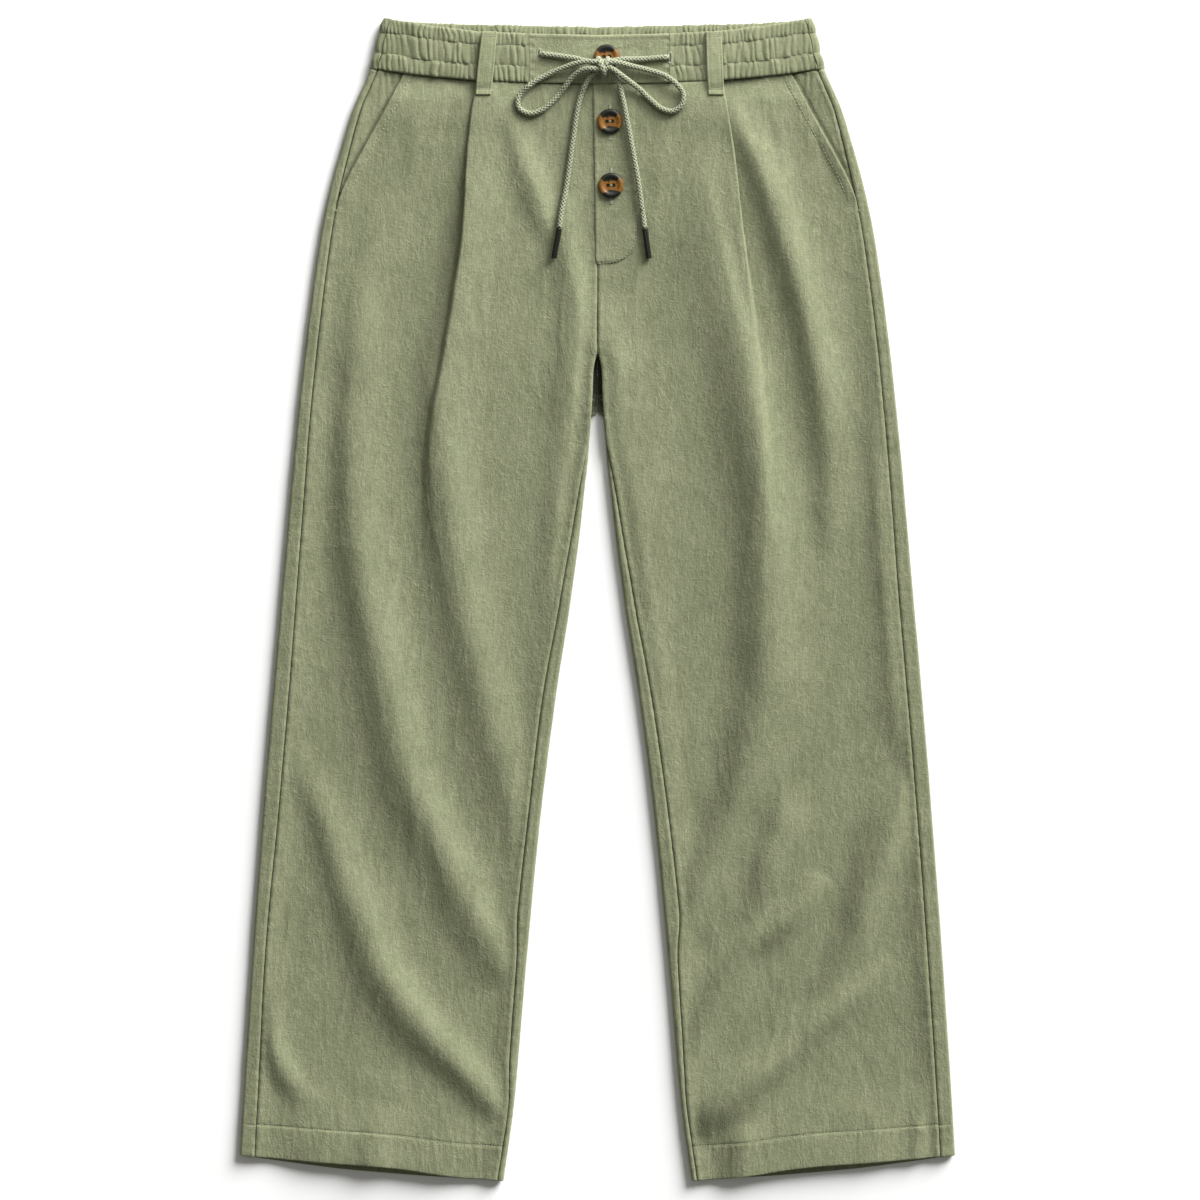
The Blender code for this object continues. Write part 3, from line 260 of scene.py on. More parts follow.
folds = {
    "right": (
        fold((108, 76, 0, 24, 9), (112, 124, 1.5, 26, 9), (115, 159, 2.6, 27, 10), (119, 194, 4.2, 28, 10),
             (124, 229, 5.2, 27, 12), (130, 268, 6, 24, 15), (137, 312, 6.2, 24, 17),
             (138, 360, 6.4, 23, 18), (130, 421, 7, 21, 21), (123, 491, 7.2, 24, 20),
             (110, 548, 7.2, 20, 22), (95, 605, 7, 20, 22), (81, 662, 5.8, 18, 22), (74, 710, 2.2, 15, 18),
             (71, 736, 0, 14, 16)),
        fold((190, 150, 0, 14, 14), (194, 181, 1.5, 17, 15), (203, 216, 3, 18, 16), (208, 255, 4.6, 19, 17),
             (210, 308, 5.6, 20, 16), (215, 360, 6.3, 22, 14), (215, 404, 7.3, 24, 14),
             (211, 456, 8.6, 25, 18), (202, 509, 9, 23, 20), (191, 557, 9, 22, 22), (182, 605, 9.4, 22, 23),
             (167, 662, 9.2, 21, 23), (147, 706, 8.5, 19, 22), (128, 745, 8, 18, 22),
             (109, 784, 7.6, 18, 21), (93, 815, 5.4, 16, 21), (83, 848, 0, 15, 18)),
        fold((260, 631, 0, 13, 11), (252, 671, 3, 15, 13), (236, 706, 5.1, 16, 14), (223, 749, 6.4, 19, 17),
             (210, 784, 7.4, 20, 18), (192, 828, 8.4, 19, 20), (169, 863, 9, 18, 21),
             (147, 889, 8.6, 17, 19), (120, 917, 7.8, 16, 15), (97, 943, 5.6, 14, 14), (83, 962, 0, 13, 13)),
        fold((295, 826, 0, 11, 9), (293, 859, 3.6, 12, 9), (288, 889, 4.8, 12, 10), (276, 918, 5.2, 11, 11),
             (260, 939, 2.6, 11, 12), (246, 957, 0, 12, 12)),
        fold((187, 946, 0, 12, 12), (192, 973, 2.8, 14, 13), (196, 1003, 3.4, 14, 14),
             (196, 1021, 3.2, 14, 14)),
        fold((29, 150, 0, 11, 13), (28, 181, 3.2, 11, 14), (24, 216, 4.8, 10, 15), (18, 251, 5.2, 9, 16),
             (21, 290, 5, 9, 16), (26, 334, 4.8, 10, 15), (31, 378, 4, 10, 14), (36, 421, 3.8, 10, 13),
             (41, 465, 2.8, 10, 13), (45, 526, 0, 10, 12)),
        fold((83, 71, 0, 9, 10), (73, 102, 2.6, 10, 11), (62, 137, 4.2, 12, 12), (49, 172, 3.8, 12, 13),
             (39, 203, 0, 11, 12)),
    ),
    "left": (
        fold((118, 71, 0, 10, 12), (126, 99, 5, 11, 14), (140, 126, 7.4, 12, 16), (152, 157, 9.2, 13, 18),
             (162, 192, 10, 14, 18), (174, 229, 9.8, 14, 18), (184, 268, 9, 14, 17),
             (194, 316, 8.2, 14, 16), (199, 356, 6.8, 14, 15), (203, 395, 4.8, 13, 14),
             (203, 439, 2.8, 12, 14), (196, 496, 0, 12, 14)),
        fold((90, 111, 0, 20, 12), (93, 146, 2, 22, 11), (102, 181, 3.4, 25, 10), (109, 216, 4.6, 27, 10),
             (117, 251, 6, 28, 11), (125, 286, 7.6, 27, 14), (133, 334, 9.2, 25, 16),
             (141, 382, 9.6, 24, 18), (147, 430, 10.2, 22, 22), (147, 483, 11, 22, 28),
             (147, 535, 11.2, 23, 31), (147, 579, 10.8, 22, 32), (139, 618, 10, 21, 31),
             (126, 666, 8.6, 18, 27), (112, 706, 6.8, 15, 15), (96, 741, 5, 14, 13), (82, 776, 2.4, 13, 12),
             (74, 799, 0, 12, 12)),
        fold((4, 242, 0, 10, 22), (7, 277, 3.2, 10, 24), (10, 312, 5, 10, 28), (16, 347, 4, 11, 29),
             (24, 382, 3.4, 11, 30), (31, 421, 3.6, 12, 30), (35, 461, 3.6, 12, 29), (39, 500, 3.2, 12, 27),
             (42, 544, 3, 12, 24), (49, 588, 2.6, 12, 20), (54, 631, 2.2, 12, 17), (56, 675, 1, 12, 14),
             (58, 714, 0, 12, 12)),
        fold((168, 659, 0, 11, 16), (163, 684, 3.4, 12, 20), (160, 706, 5.6, 13, 22),
             (149, 738, 5.6, 13, 20), (142, 771, 2.8, 13, 14), (135, 802, 0, 12, 12)),
        fold((196, 747, 0, 12, 12), (188, 761, 3.6, 12, 13), (175, 777, 6.2, 12, 13),
             (156, 794, 7.4, 12, 13), (133, 813, 6.8, 12, 13), (114, 838, 6, 12, 13),
             (97, 866, 4.6, 12, 13), (83, 894, 2.6, 12, 13), (74, 917, 0, 12, 12)),
        fold((268, 656, 0, 17, 11), (265, 679, 3.8, 19, 12), (258, 703, 6.6, 21, 14),
             (249, 736, 8.2, 21, 15), (236, 771, 8, 16, 15), (224, 805, 6, 14, 15), (210, 833, 3.8, 14, 14),
             (190, 868, 0, 13, 13)),
        fold((258, 820, 0, 13, 13), (237, 841, 3.8, 13, 14), (214, 861, 6.6, 14, 14),
             (190, 881, 8.2, 14, 14), (161, 908, 9.6, 14, 14), (133, 931, 10.6, 14, 15),
             (112, 950, 9.6, 14, 15), (94, 966, 5, 13, 14), (84, 979, 0, 12, 13)),
        fold((251, 334, 0, 16, 9), (253, 369, 3, 17, 9), (256, 421, 4.2, 18, 10), (258, 474, 4.4, 18, 10),
             (261, 535, 3.8, 18, 10), (266, 596, 3.2, 18, 10), (269, 649, 0, 16, 10)),
        fold((126, 964, 0, 12, 14), (125, 983, 3.2, 13, 15), (123, 1021, 3.2, 13, 15)),
        fold((283, 933, 0, 9, 8), (281, 964, 2.4, 10, 8), (280, 1003, 3, 10, 8)),
    ),
}
# A crease runs between two ends and bows sideways. A negative height is a trough.
creases = table(
    "out_1 down_1 out_2 down_2 bow height width",
    (150, 70, 165, 150, 3, 0.9, 6), (128, 66, 140, 112, -2, -0.8, 5), (60, 90, 44, 190, 3, 1.2, 9),
)


def smoothed(line, between):
    # A line's own points, with smooth ones between them.
    along = np.concatenate(([0], np.cumsum(np.hypot(np.diff(line["out"]), np.diff(line["down"])))))
    lane = {"along": along, **line}
    at = np.linspace(0, along[-1], between * (len(along) - 1) + 1)
    return {name: curveAt(lane, name, at) for name in line}


def foldHeight(side, out, down):
    total = np.zeros(np.broadcast(out, down).shape)
    for line in folds[side]:
        line = smoothed(line, 5)
        nearest = np.full(total.shape, 1e9)
        shape = np.zeros(total.shape)
        for i in range(len(line["out"]) - 1):
            start = {name: column[i] for name, column in line.items()}
            run = {name: column[i + 1] - column[i] for name, column in line.items()}
            fromOut, fromDown = out - start["out"], down - start["down"]
            t = (fromOut * run["out"] + fromDown * run["down"]) / (run["out"] ** 2 + run["down"] ** 2)
            t = np.clip(t, 0, 1)
            awayOut = fromOut - t * run["out"]
            distance = np.hypot(awayOut, fromDown - t * run["down"])
            own = {name: start[name] + t * run[name] for name in ("height", "inward", "outward")}
            here = own["height"] * bell(distance, np.where(awayOut < 0, own["inward"], own["outward"]))
            shape = np.where(distance < nearest, here, shape)
            nearest = np.minimum(nearest, distance)
        total += shape ** 2
    return np.sqrt(total)


def creaseHeight(out, down):
    total = 0.0
    for out1, down1, out2, down2, bow, height, width in zip(*creases.values()):
        runOut, runDown = out2 - out1, down2 - down1
        length = math.hypot(runOut, runDown)
        t = ((out - out1) * runOut + (down - down1) * runDown) / length ** 2
        along = np.clip(t, 0, 1)
        away = ((out - out1) * runDown - (down - down1) * runOut) / length - bow * 4 * along * (1 - along)
        beyond = np.maximum(np.abs(t - 0.5) - 0.5, 0) * length
        total = total + height * np.sin(math.pi * along) ** 0.7 * bell(np.hypot(away, beyond), width)
    return total


def facingHeight(side, out, down):
    # Middle of the pocket facing, which slopes down from the side seam, under the front.
    seamHeight = curveAt(edgeHeight, "height", down) - trousers["cloth"] / 2
    return seamHeight - 1.3 * ease(47, 150, down) - 0.10 * (sideSeam(side, down) - out)


def frontHeight(side, out, down):
    # Middle of the front cloth, apart from the step that its pleat makes.
    rest = trousers["restHeight"]
    seamHeight = curveAt(edgeHeight, "height", down) - wallAt(down) / 2
    fromSide = sideSeam(side, down) - out
    fromInner = out - inseam(side, down)
    bySide = bell(fromSide, trousers["seamReach"])
    byInner = bell(fromInner, trousers["seamReach"]) * ease(235, 290, down)
    clear = ease(0, 16, fromSide) * (1 - (1 - ease(0, 18, fromInner)) * ease(235, 300, down))
    height = rest + curveAt(waistRise, "rise", down) * (0.7 + 0.3 * ease(60, 100, out)) * (1 - bySide)
    height = height + (seamHeight - rest) * bySide
    swellAt, swellLength, swell = trousers["crotchSwell"]
    height = height + (seamHeight + swell * bell(down - swellAt, swellLength) - rest) * byInner
    height = height + (foldHeight(side, out, down) + creaseHeight(out, down)) * clear
    reach = trousers["archReach"]
    middle = ease(0, reach, fromSide) * ease(0, reach, fromInner)
    height = height + trousers["hemArch"] * middle * bell(np.maximum(trousers["hemRow"] - down, 0), reach)
    # The pocket's edge stands off the facing.
    fromPocket = curveAt(pocketEdge, "out", down) - out
    gapeAt, gapeLength, gape = trousers["pocketGape"]
    gape = gape * bell(down - gapeAt, gapeLength) * ease(20, 0, fromPocket)
    overFacing = facingHeight(side, out, down) + trousers["cloth"] + 1.5 * gap + gape
    full, most = trousers["pocketCover"]
    blend = ease(most, full, fromPocket) * (1 - ease(156, 168, down))
    height = height + np.maximum(overFacing - height, 0) * blend
    # A trough stops softly where the cloth meets the back.
    floor, soft = rest - 0.35, 0.4
    sunk = floor + soft * np.exp((np.minimum(height, floor + soft) - floor - soft) / soft)
    return np.where(height < floor + soft, sunk, height)


def pleatRise(down):
    turn = np.radians(curveAt(pleatShape, "turn", down))
    turned = 2 * curveAt(pleatShape, "radius", down) * (1 - np.cos(turn))
    return turned + curveAt(pleatShape, "flat", down) * np.sin(turn)


def pleatLift(side, out, down):
    # The cloth between the two pleats lies on them, and sinks back towards the centre.
    beyond = curveAt(pleatLine[side], "out", down) - out - curveAt(pleatShape, "flat", down)
    return pleatRise(down) * np.exp(-np.maximum(beyond, 0) / curveAt(pleatShape, "spread", down))


def frontTop(side, out, down):
    # Upper face of the front, for what lies on it.
    out, down = np.broadcast_arrays(np.asarray(out, float), np.asarray(down, float))
    onPleat = out < curveAt(pleatLine[side], "out", down) + 2
    return frontHeight(side, out, down) + pleatLift(side, out, down) * onPleat + wallAt(down) / 2


def pleatSection(down, count):
    # The pleat's section on each row, from its upper fold, as how far out and how far below it.
    turn, radius, flat = (curveAt(pleatShape, name, down)[:, None] for name in ("turn", "radius", "flat"))
    turn = np.radians(turn)
    arc = radius * turn
    even = np.linspace(0, 1, count)[None, :]
    # More points on the two turns than on the flat, where there are turns.
    bunched = 0.5 + 0.5 * np.sign(even - 0.5) * np.abs(2 * even - 1) ** 0.55
    total = 2 * arc + flat
    share = np.clip(arc / np.maximum(total, 1e-6) * 4, 0, 1)
    stop = total * (even * (1 - share) + bunched * share)
    first = np.minimum(stop, arc) / radius
    last = np.maximum(stop - arc - flat, 0) / radius
    run = np.minimum(np.maximum(stop - arc, 0), flat)
    out = radius * np.sin(first) + run * np.cos(turn) + radius * (np.sin(turn) - np.sin(turn - last))
    drop = radius * (1 - np.cos(first)) + run * np.sin(turn) + radius * (np.cos(turn - last) - np.cos(turn))
    return out, drop


# Making pieces.

def placed(side, points):
    # From out, down and height in millimetres to metres in the frame.
    out, down, height = (points[..., i] for i in range(3))
    return joined(sides[side] * out, trousers["length"] / 2 - down, height) * mm


def lifted(points, height):
    # A grid of points moved along the cloth's own upward normal.
    normal = np.cross(np.gradient(points, axis=1), np.gradient(points, axis=0))
    normal /= np.maximum(np.linalg.norm(normal, axis=-1, keepdims=True), 1e-9)
    return points + normal * np.broadcast_to(height, points.shape[:2])[..., None]


def addObject(name, data):
    made = bpy.data.objects.new(name, data)
    bpy.context.scene.collection.objects.link(made)
    return made


def meshPiece(name, points, faces, finish, uv):
    mesh = bpy.data.meshes.new(name)
    mesh.from_pydata(points.tolist(), [], faces)
    mesh.update()
    corners = np.array([loop.vertex_index for loop in mesh.loops])
    layer = mesh.uv_layers.new(name="cloth")
    layer.data.foreach_set("uv", uv[corners].astype(np.float32).ravel())
    triangles = np.array([t.vertices[:] for t in mesh.loop_triangles])
    a, b, c = (points[triangles[:, i]] for i in range(3))
    if np.einsum("ij,ij->i", a, np.cross(b, c)).sum() < 0:
        mesh.flip_normals()
    mesh.shade_smooth()
    mesh.materials.append(finish)
    piece = addObject(name, mesh)
    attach(piece, "root")
    return piece


def shell(name, side, outside, inside, cloth, finish, skip=3):
    # A closed thin wall: a fine outer skin, an inner one with fewer points, and the rim between them.
    # cloth says how far across and down the flat cloth each point is.
    rows, columns = outside.shape[:2]
    someRows, someColumns = (np.unique(np.append(np.arange(0, n, skip), n - 1)) for n in (rows, columns))
    some = np.ix_(someRows, someColumns)
    uv = joined(*cloth) * mm
    points = np.concatenate([outside.reshape(-1, 3), inside[some].reshape(-1, 3)])
    uvs = np.concatenate([uv.reshape(-1, 2), uv[some].reshape(-1, 2)])
    outer = np.arange(rows * columns).reshape(rows, columns)
    inner = rows * columns + np.arange(len(someRows) * len(someColumns)).reshape(len(someRows), -1)
    faces = []
    for index, order in ((outer, (0, 1, 2, 3)), (inner, (3, 2, 1, 0))):
        corners = np.stack([index[:-1, :-1], index[:-1, 1:], index[1:, 1:], index[1:, :-1]], axis=-1)
        faces += corners.reshape(-1, 4)[:, order].tolist()
    for picked, forward, fine, coarse in (
            (someColumns, False, outer[0], inner[0]), (someColumns, True, outer[-1], inner[-1]),
            (someRows, True, outer[:, 0], inner[:, 0]), (someRows, False, outer[:, -1], inner[:, -1])):
        for i in range(len(picked) - 1):
            face = fine[picked[i]:picked[i + 1] + 1].tolist() + [int(coarse[i + 1]), int(coarse[i])]
            faces.append(face if forward else face[::-1])
    return meshPiece(name, placed(side, points), faces, finish, uvs)


def spacing(start, end, step, fine=()):
    # Places from start to end: the fine distances in from each end, then even steps between them.
    low = [start + distance for distance in fine]
    high = [end - distance for distance in reversed(fine)]
    first, last = (low[-1], high[0]) if fine else (start, end)
    count = max(int(round((last - first) / step)), 1)
    return np.concatenate([low[:-1], np.linspace(first, last, count + 1), high[1:]])


# Materials.

def fill(tree, node, values):
    # Sets a node's own settings and inputs. An input is linked where its value is another node's socket.
    for name, value in values.items():
        if hasattr(node, name):
            setattr(node, name, value)
        elif isinstance(value, bpy.types.NodeSocket):
            tree.links.new(value, node.inputs[name.replace("_", " ")])
        else:
            node.inputs[name.replace("_", " ")].default_value = value


def addNode(tree, kind, **values):
    # Nodes stand in columns, in the order in which they are made.
    column, row = divmod(len(tree.nodes), 6)
    node = tree.nodes.new(kind)
    node.location = (200 * column - 1500, 600 - 260 * row)
    fill(tree, node, values)
    return node


def addMath(tree, operation, *values):
    node = addNode(tree, "ShaderNodeMath", operation=operation)
    for socket, value in zip(node.inputs, values):
        if isinstance(value, (int, float)):
            socket.default_value = value
        else:
            tree.links.new(value, socket)
    return node.outputs[0]


def addUp(tree, total, *others):
    for value in others:
        total = addMath(tree, "ADD", total, value)
    return total


def scaled(tree, value, size):
    return addMath(tree, "MULTIPLY", value, size)


def swing(tree, value, middle, size):
    return scaled(tree, addMath(tree, "SUBTRACT", value, middle), size)


def objectPlace(tree):
    return addNode(tree, "ShaderNodeTexCoord").outputs["Object"]


def clothPlace(tree):
    # The UV map's place, and its two parts.
    cloth = addNode(tree, "ShaderNodeUVMap", uv_map="cloth").outputs["UV"]
    split = addNode(tree, "ShaderNodeSeparateXYZ", Vector=cloth)
    return cloth, split.outputs["X"], split.outputs["Y"]


def noiseAt(tree, place, scale, stretch=(1, 1, 1), turn=0.0, detail=2.0, roughness=0.5, distortion=0.0):
    # Noise whose cells are 1 / scale metres across, drawn out by stretch.
    mapping = addNode(tree, "ShaderNodeMapping", vector_type="TEXTURE", Vector=place, Scale=stretch,
                      Rotation=(0, 0, math.radians(turn)))
    noise = addNode(tree, "ShaderNodeTexNoise", Vector=mapping.outputs[0], Scale=scale, Detail=detail,
                    Roughness=roughness, Distortion=distortion)
    return noise.outputs[0]


def ridges(tree, place, layers, stretch, sharpness, **look):
    # Thin ridges where layers of soft noise cross their middles. A layer has a turn and a scale.
    found = []
    for turn, scale in layers:
        noise = noiseAt(tree, place, scale, stretch=(1, stretch, 1), turn=turn, **look)
        folded = addMath(tree, "ABSOLUTE", addMath(tree, "SUBTRACT", noise, 0.5))
        blunt = addMath(tree, "MINIMUM", scaled(tree, folded, sharpness), 1.0)
        found.append(addMath(tree, "SUBTRACT", 1.0, blunt))
    return addUp(tree, *found)


def colourRamp(tree, value, *stops):
    # Each stop is a position and a colour, from the lowest to the highest.
    ramp = addNode(tree, "ShaderNodeValToRGB", Fac=value)
    ends = ramp.color_ramp.elements
    for end, (position, colour) in zip((ends[0], ends[1]), (stops[0], stops[-1])):
        end.position, end.color = position, (*colour, 1)
    for position, colour in stops[1:-1]:
        ends.new(position).color = (*colour, 1)
    return ramp.outputs[0]


def newMaterial(name):
    made = bpy.data.materials.new(name)
    made.use_nodes = True
    shader = made.node_tree.nodes["Principled BSDF"]
    return made, made.node_tree, shader


def finished(made, tree, shader, relief, strength, depth, **values):
    # The shader's inputs, and a relief whose depth is in millimetres.
    bump = addNode(tree, "ShaderNodeBump", Height=relief, Strength=strength, Distance=depth * mm)
    fill(tree, shader, {"Normal": bump.outputs[0], **values})
    return made


linenLook = {
    "dark": (0.126, 0.138, 0.073),
    "light": (0.258, 0.272, 0.166),
    "roughness": 0.92,
    "sheen": 0.12,
    "threadPitch": 0.62,     # millimetres
    "crinkles": ((12, 190), (-19, 240), (3, 140), (61, 280)),
    "streaks": ((-4, 170),),
    "washMarks": ((8, 46), (-27, 58)),       # long, thin and curved
}


def linenGroup():
    # Plain-woven washed linen: threads, slubs, a crinkled face and uneven dye.
    tree = bpy.data.node_groups.new("linenCloth", "ShaderNodeTree")
    for name, value in (("Thread Pitch", linenLook["threadPitch"]), ("Slubs", 1.0), ("Crinkle", 1.0)):
        socket = tree.interface.new_socket(name=name, in_out="INPUT", socket_type="NodeSocketFloat")
        socket.default_value = value
    for name in ("Tone", "Relief"):
        tree.interface.new_socket(name=name, in_out="OUTPUT", socket_type="NodeSocketFloat")
    given = addNode(tree, "NodeGroupInput").outputs
    place = objectPlace(tree)
    cloth, *axes = clothPlace(tree)
    turns = [addMath(tree, "MULTIPLY", axis, 1000.0 * math.pi) for axis in axes]
    threads = [addMath(tree, "SINE", addMath(tree, "DIVIDE", turn, given["Thread Pitch"])) for turn in turns]
    weave = scaled(tree, scaled(tree, *threads), 0.05)
    slubs = [noiseAt(tree, cloth, 900, stretch=stretch, detail=1.0) for stretch in ((1, 9, 1), (8, 1, 1))]
    slubs = swing(tree, addUp(tree, *slubs), 1.0, given["Slubs"])
    crinkle = ridges(tree, place, linenLook["crinkles"], 3.4, 11.0, detail=1.5, distortion=0.9)
    streaks = ridges(tree, place, linenLook["streaks"], 8, 9.0, detail=1.5, distortion=0.5)
    marks = ridges(tree, place, linenLook["washMarks"], 1.8, 34.0, detail=2.5, roughness=0.6, distortion=1.6)
    marks = addMath(tree, "MULTIPLY", marks, noiseAt(tree, place, 90, detail=1.0))
    crinkle = addUp(tree, crinkle, scaled(tree, streaks, 1.3), scaled(tree, marks, 2.6))
    crinkle = scaled(tree, crinkle, given["Crinkle"])
    cloudy = noiseAt(tree, place, 26, detail=3.0, roughness=0.6)
    speckle = noiseAt(tree, place, 520, detail=2.0, roughness=0.7)
    # Tone is 0.5 where the dye is even. The crinkles' ridges are painted lighter: painted light.
    tone = addUp(tree, scaled(tree, slubs, 0.55), swing(tree, cloudy, 0.5, 0.7),
                 swing(tree, speckle, 0.5, 0.62), swing(tree, crinkle, 0.8, 0.09), 0.5)
    relief = addUp(tree, weave, scaled(tree, slubs, 0.10), scaled(tree, crinkle, 0.064))
    addNode(tree, "NodeGroupOutput", Tone=tone, Relief=relief)
    return tree


def linenMaterial(name, crinkle=1.0, shade=1.0):
    made, tree, shader = newMaterial(name)
    cloth = addNode(tree, "ShaderNodeGroup", node_tree=clothGroup, Crinkle=crinkle).outputs
    stops = [(i, [part * shade for part in linenLook[tone]]) for i, tone in enumerate(("dark", "light"))]
    return finished(made, tree, shader, cloth["Relief"], 1.0, 1.0,
                    Base_Color=colourRamp(tree, cloth["Tone"], *stops), Roughness=linenLook["roughness"],
                    Specular_IOR_Level=0.2, Sheen_Weight=linenLook["sheen"], Sheen_Roughness=0.6,
                    Sheen_Tint=(0.85, 0.9, 0.7, 1))


def fuzzyMaterial(name, dark, light, grain):
    # Sewing thread and the like: a fine uneven tone and a short nap.
    made, tree, shader = newMaterial(name)
    noise = noiseAt(tree, objectPlace(tree), grain, detail=3.0, roughness=0.7)
    return finished(made, tree, shader, noise, 0.6, 0.2, Roughness=0.85, Sheen_Weight=0.2,
                    Base_Color=colourRamp(tree, noise, (0.3, dark), (0.7, light)))


def cordMaterial():
    # Braided cotton. Its UV map counts turns round the cord, and lozenges of the braid along it.
    made, tree, shader = newMaterial("cordCotton")
    _, turns, lozenges = clothPlace(tree)
    around, ahead = scaled(tree, turns, 8 * math.pi), scaled(tree, lozenges, 2 * math.pi)
    hands = [addMath(tree, "COSINE", addMath(tree, way, around, ahead)) for way in ("ADD", "SUBTRACT")]
    # The grooves between the strands are painted darker than the strands' tops: painted shade.
    braidShading = scaled(tree, addMath(tree, "MAXIMUM", *hands), 0.30)
    yarn = noiseAt(tree, objectPlace(tree), 1500, detail=3.0, roughness=0.75)
    tone = addMath(tree, "ADD", braidShading, yarn)
    colour = colourRamp(tree, tone, (0.28, (0.084, 0.092, 0.0512)), (0.92, (0.4, 0.424, 0.3)))
    return finished(made, tree, shader, tone, 0.8, 0.35, Base_Color=colour, Roughness=0.9,
                    Specular_IOR_Level=0.2)


def shellMaterial():
    # Imitation tortoiseshell: a dark cap above and below an amber band that runs between them.
    made, tree, shader = newMaterial("tortoiseshell")
    place = objectPlace(tree)
    wobble = noiseAt(tree, place, 330, detail=4.0, roughness=0.65)
    caps = []
    for centre, width in (((-0.0010, 0.0100, 0), 0.0074), ((0.0014, -0.0104, 0), 0.0072)):
        shifted = addNode(tree, "ShaderNodeMapping", vector_type="TEXTURE", Vector=place, Location=centre,
                          Scale=(1.5, 1.0, 1000.0))
        length = addNode(tree, "ShaderNodeVectorMath", operation="LENGTH", Vector=shifted.outputs[0])
        share = addMath(tree, "DIVIDE", length.outputs["Value"], width)
        caps.append(addMath(tree, "ADD", share, swing(tree, wobble, 0.5, 0.9)))
    amber = colourRamp(tree, addMath(tree, "MINIMUM", *caps),
                       (0.86, (0.014, 0.016, 0.010)), (0.93, (0.120, 0.048, 0.012)),
                       (0.98, (0.34, 0.155, 0.030)), (1.0, (0.25, 0.112, 0.020)))
    mottle = noiseAt(tree, place, 900, detail=3.0, roughness=0.7)
    mottled = addNode(tree, "ShaderNodeMix", data_type="RGBA", blend_type="MULTIPLY", Factor=1.0, A=amber,
                      B=colourRamp(tree, mottle, (0.35, (0.45, 0.42, 0.40)), (0.62, (1, 1, 1))))
    return finished(made, tree, shader, mottle, 0.3, 0.1, Base_Color=mottled.outputs["Result"],
                    Roughness=0.46, Specular_IOR_Level=0.3)


def tipMaterial():
    made, tree, shader = newMaterial("tipPlastic")
    noise = noiseAt(tree, objectPlace(tree), 700, stretch=(1, 4, 1))
    colour = colourRamp(tree, noise, (0, (0.003, 0.003, 0.002)), (1, (0.016, 0.015, 0.010)))
    fill(tree, shader, {"Base_Color": colour, "Roughness": 0.4, "Specular_IOR_Level": 0.3})
    return made


clothGroup = linenGroup()
linen = linenMaterial("washedLinen")
bandLinen = linenMaterial("bandLinen", crinkle=0.35)
# Painted light: a lighter copy of the linen for the belt loops.
litLoopLinen = linenMaterial("beltLoopPaintedLight", crinkle=0.5, shade=1.18)
thread = fuzzyMaterial("sewingThread", (0.24, 0.25, 0.155), (0.42, 0.44, 0.31), 1500)
cotton = cordMaterial()
shellFinish = shellMaterial()
tipFinish = tipMaterial()
# Painted shade: the near-black finish of the flat pieces in the slits' mouths.
hollow = fuzzyMaterial("slitShadow", (0.03, 0.032, 0.018), (0.06, 0.064, 0.038), 900)
print("materials made")


# The legs.

# Sizes of the fronts' relief, which the backs' seams and hems share.
frontPanel = {
    "rowStep": 2.2,
    "columnStep": 1.6,
    "edgeSteps": np.array((0, 0.4, 0.9, 1.6, 2.6, 4.0)),     # distances of the first columns from a seam
    "pleatPoints": 26,
    "seamValley": 0.85,      # depth beside a seam
    "seamRidge": 0.42,
    "pucker": 0.34,
    "hemGroove": 0.55,
    "hemPucker": 0.75,
    "hemPitch": 4.2,         # from one of the hem's puckers to the next
    "pocketStitch": 8.0,     # from the pocket's edge to its topstitching
    "crumple": ((15, 52, 9, 0.68), (7.5, 44, -7, 0.32), (4.6, 26, 12, 0.16)),    # width, length, lean, height
    "seed": {"right": 31, "left": 11},
}


def seamRelief(distance, along, seed):
    # A seam sinks at its line, rises beside it and puckers.
    valley = roundOver(distance, 1.5, frontPanel["seamValley"])
    ridge = frontPanel["seamRidge"] * bell(distance - 2.6, 1.5)
    wave = np.sin(along / 1.75 + 2.5 * softNoise(along / 14, 0.3, seed))
    swell = 0.6 + 0.4 * softNoise(along / 22, 5.1, seed + 1)
    return valley + ridge + frontPanel["pucker"] * wave * swell * np.exp(-distance / 4.5)


def surfaceCrumple(x, down, seed):
    total = 0.0
    for i, (width, length, lean, height) in enumerate(frontPanel["crumple"]):
        strength = 0.55 + 0.45 * softNoise(x / 60 + 3.3, down / 80, seed + 7 * i)
        total = total + height * strength * crumple(x, down, width, length, lean, seed + i)
    return total


def hemRelief(out, row, seed):
    # A groove where the hem is stitched, with short upright puckers on each side of it.
    fromStitch = row - trousers["hemStitch"]
    fade = np.where(fromStitch > 0, np.exp(-fromStitch / 16), 0.7 * np.exp(fromStitch / 7))
    fade = fade * np.clip(np.abs(fromStitch) / 1.2, 0.35, 1)
    pucker = frontPanel["hemPucker"] * crumple(out, row, frontPanel["hemPitch"], 34, 3, seed) * fade
    return pucker - frontPanel["hemGroove"] * bell(fromStitch, 0.9)


def hemRound(row):
    return roundOver(trousers["hemRow"] - row, 1.1, 0.9)


def hemRows(step):
    stitch, hem = trousers["hemStitch"], trousers["hemRow"]
    top = np.arange(trousers["waistRow"], stitch - 2.5, step)
    beside = stitch + np.array([-1.6, -0.9, -0.4, 0, 0.4, 0.9, 1.6])
    below = np.arange(stitch + 3.0, hem - 2, 2.0)
    return np.concatenate([top, beside, below, hem - np.array([1.2, 0.7, 0.3, 0])])


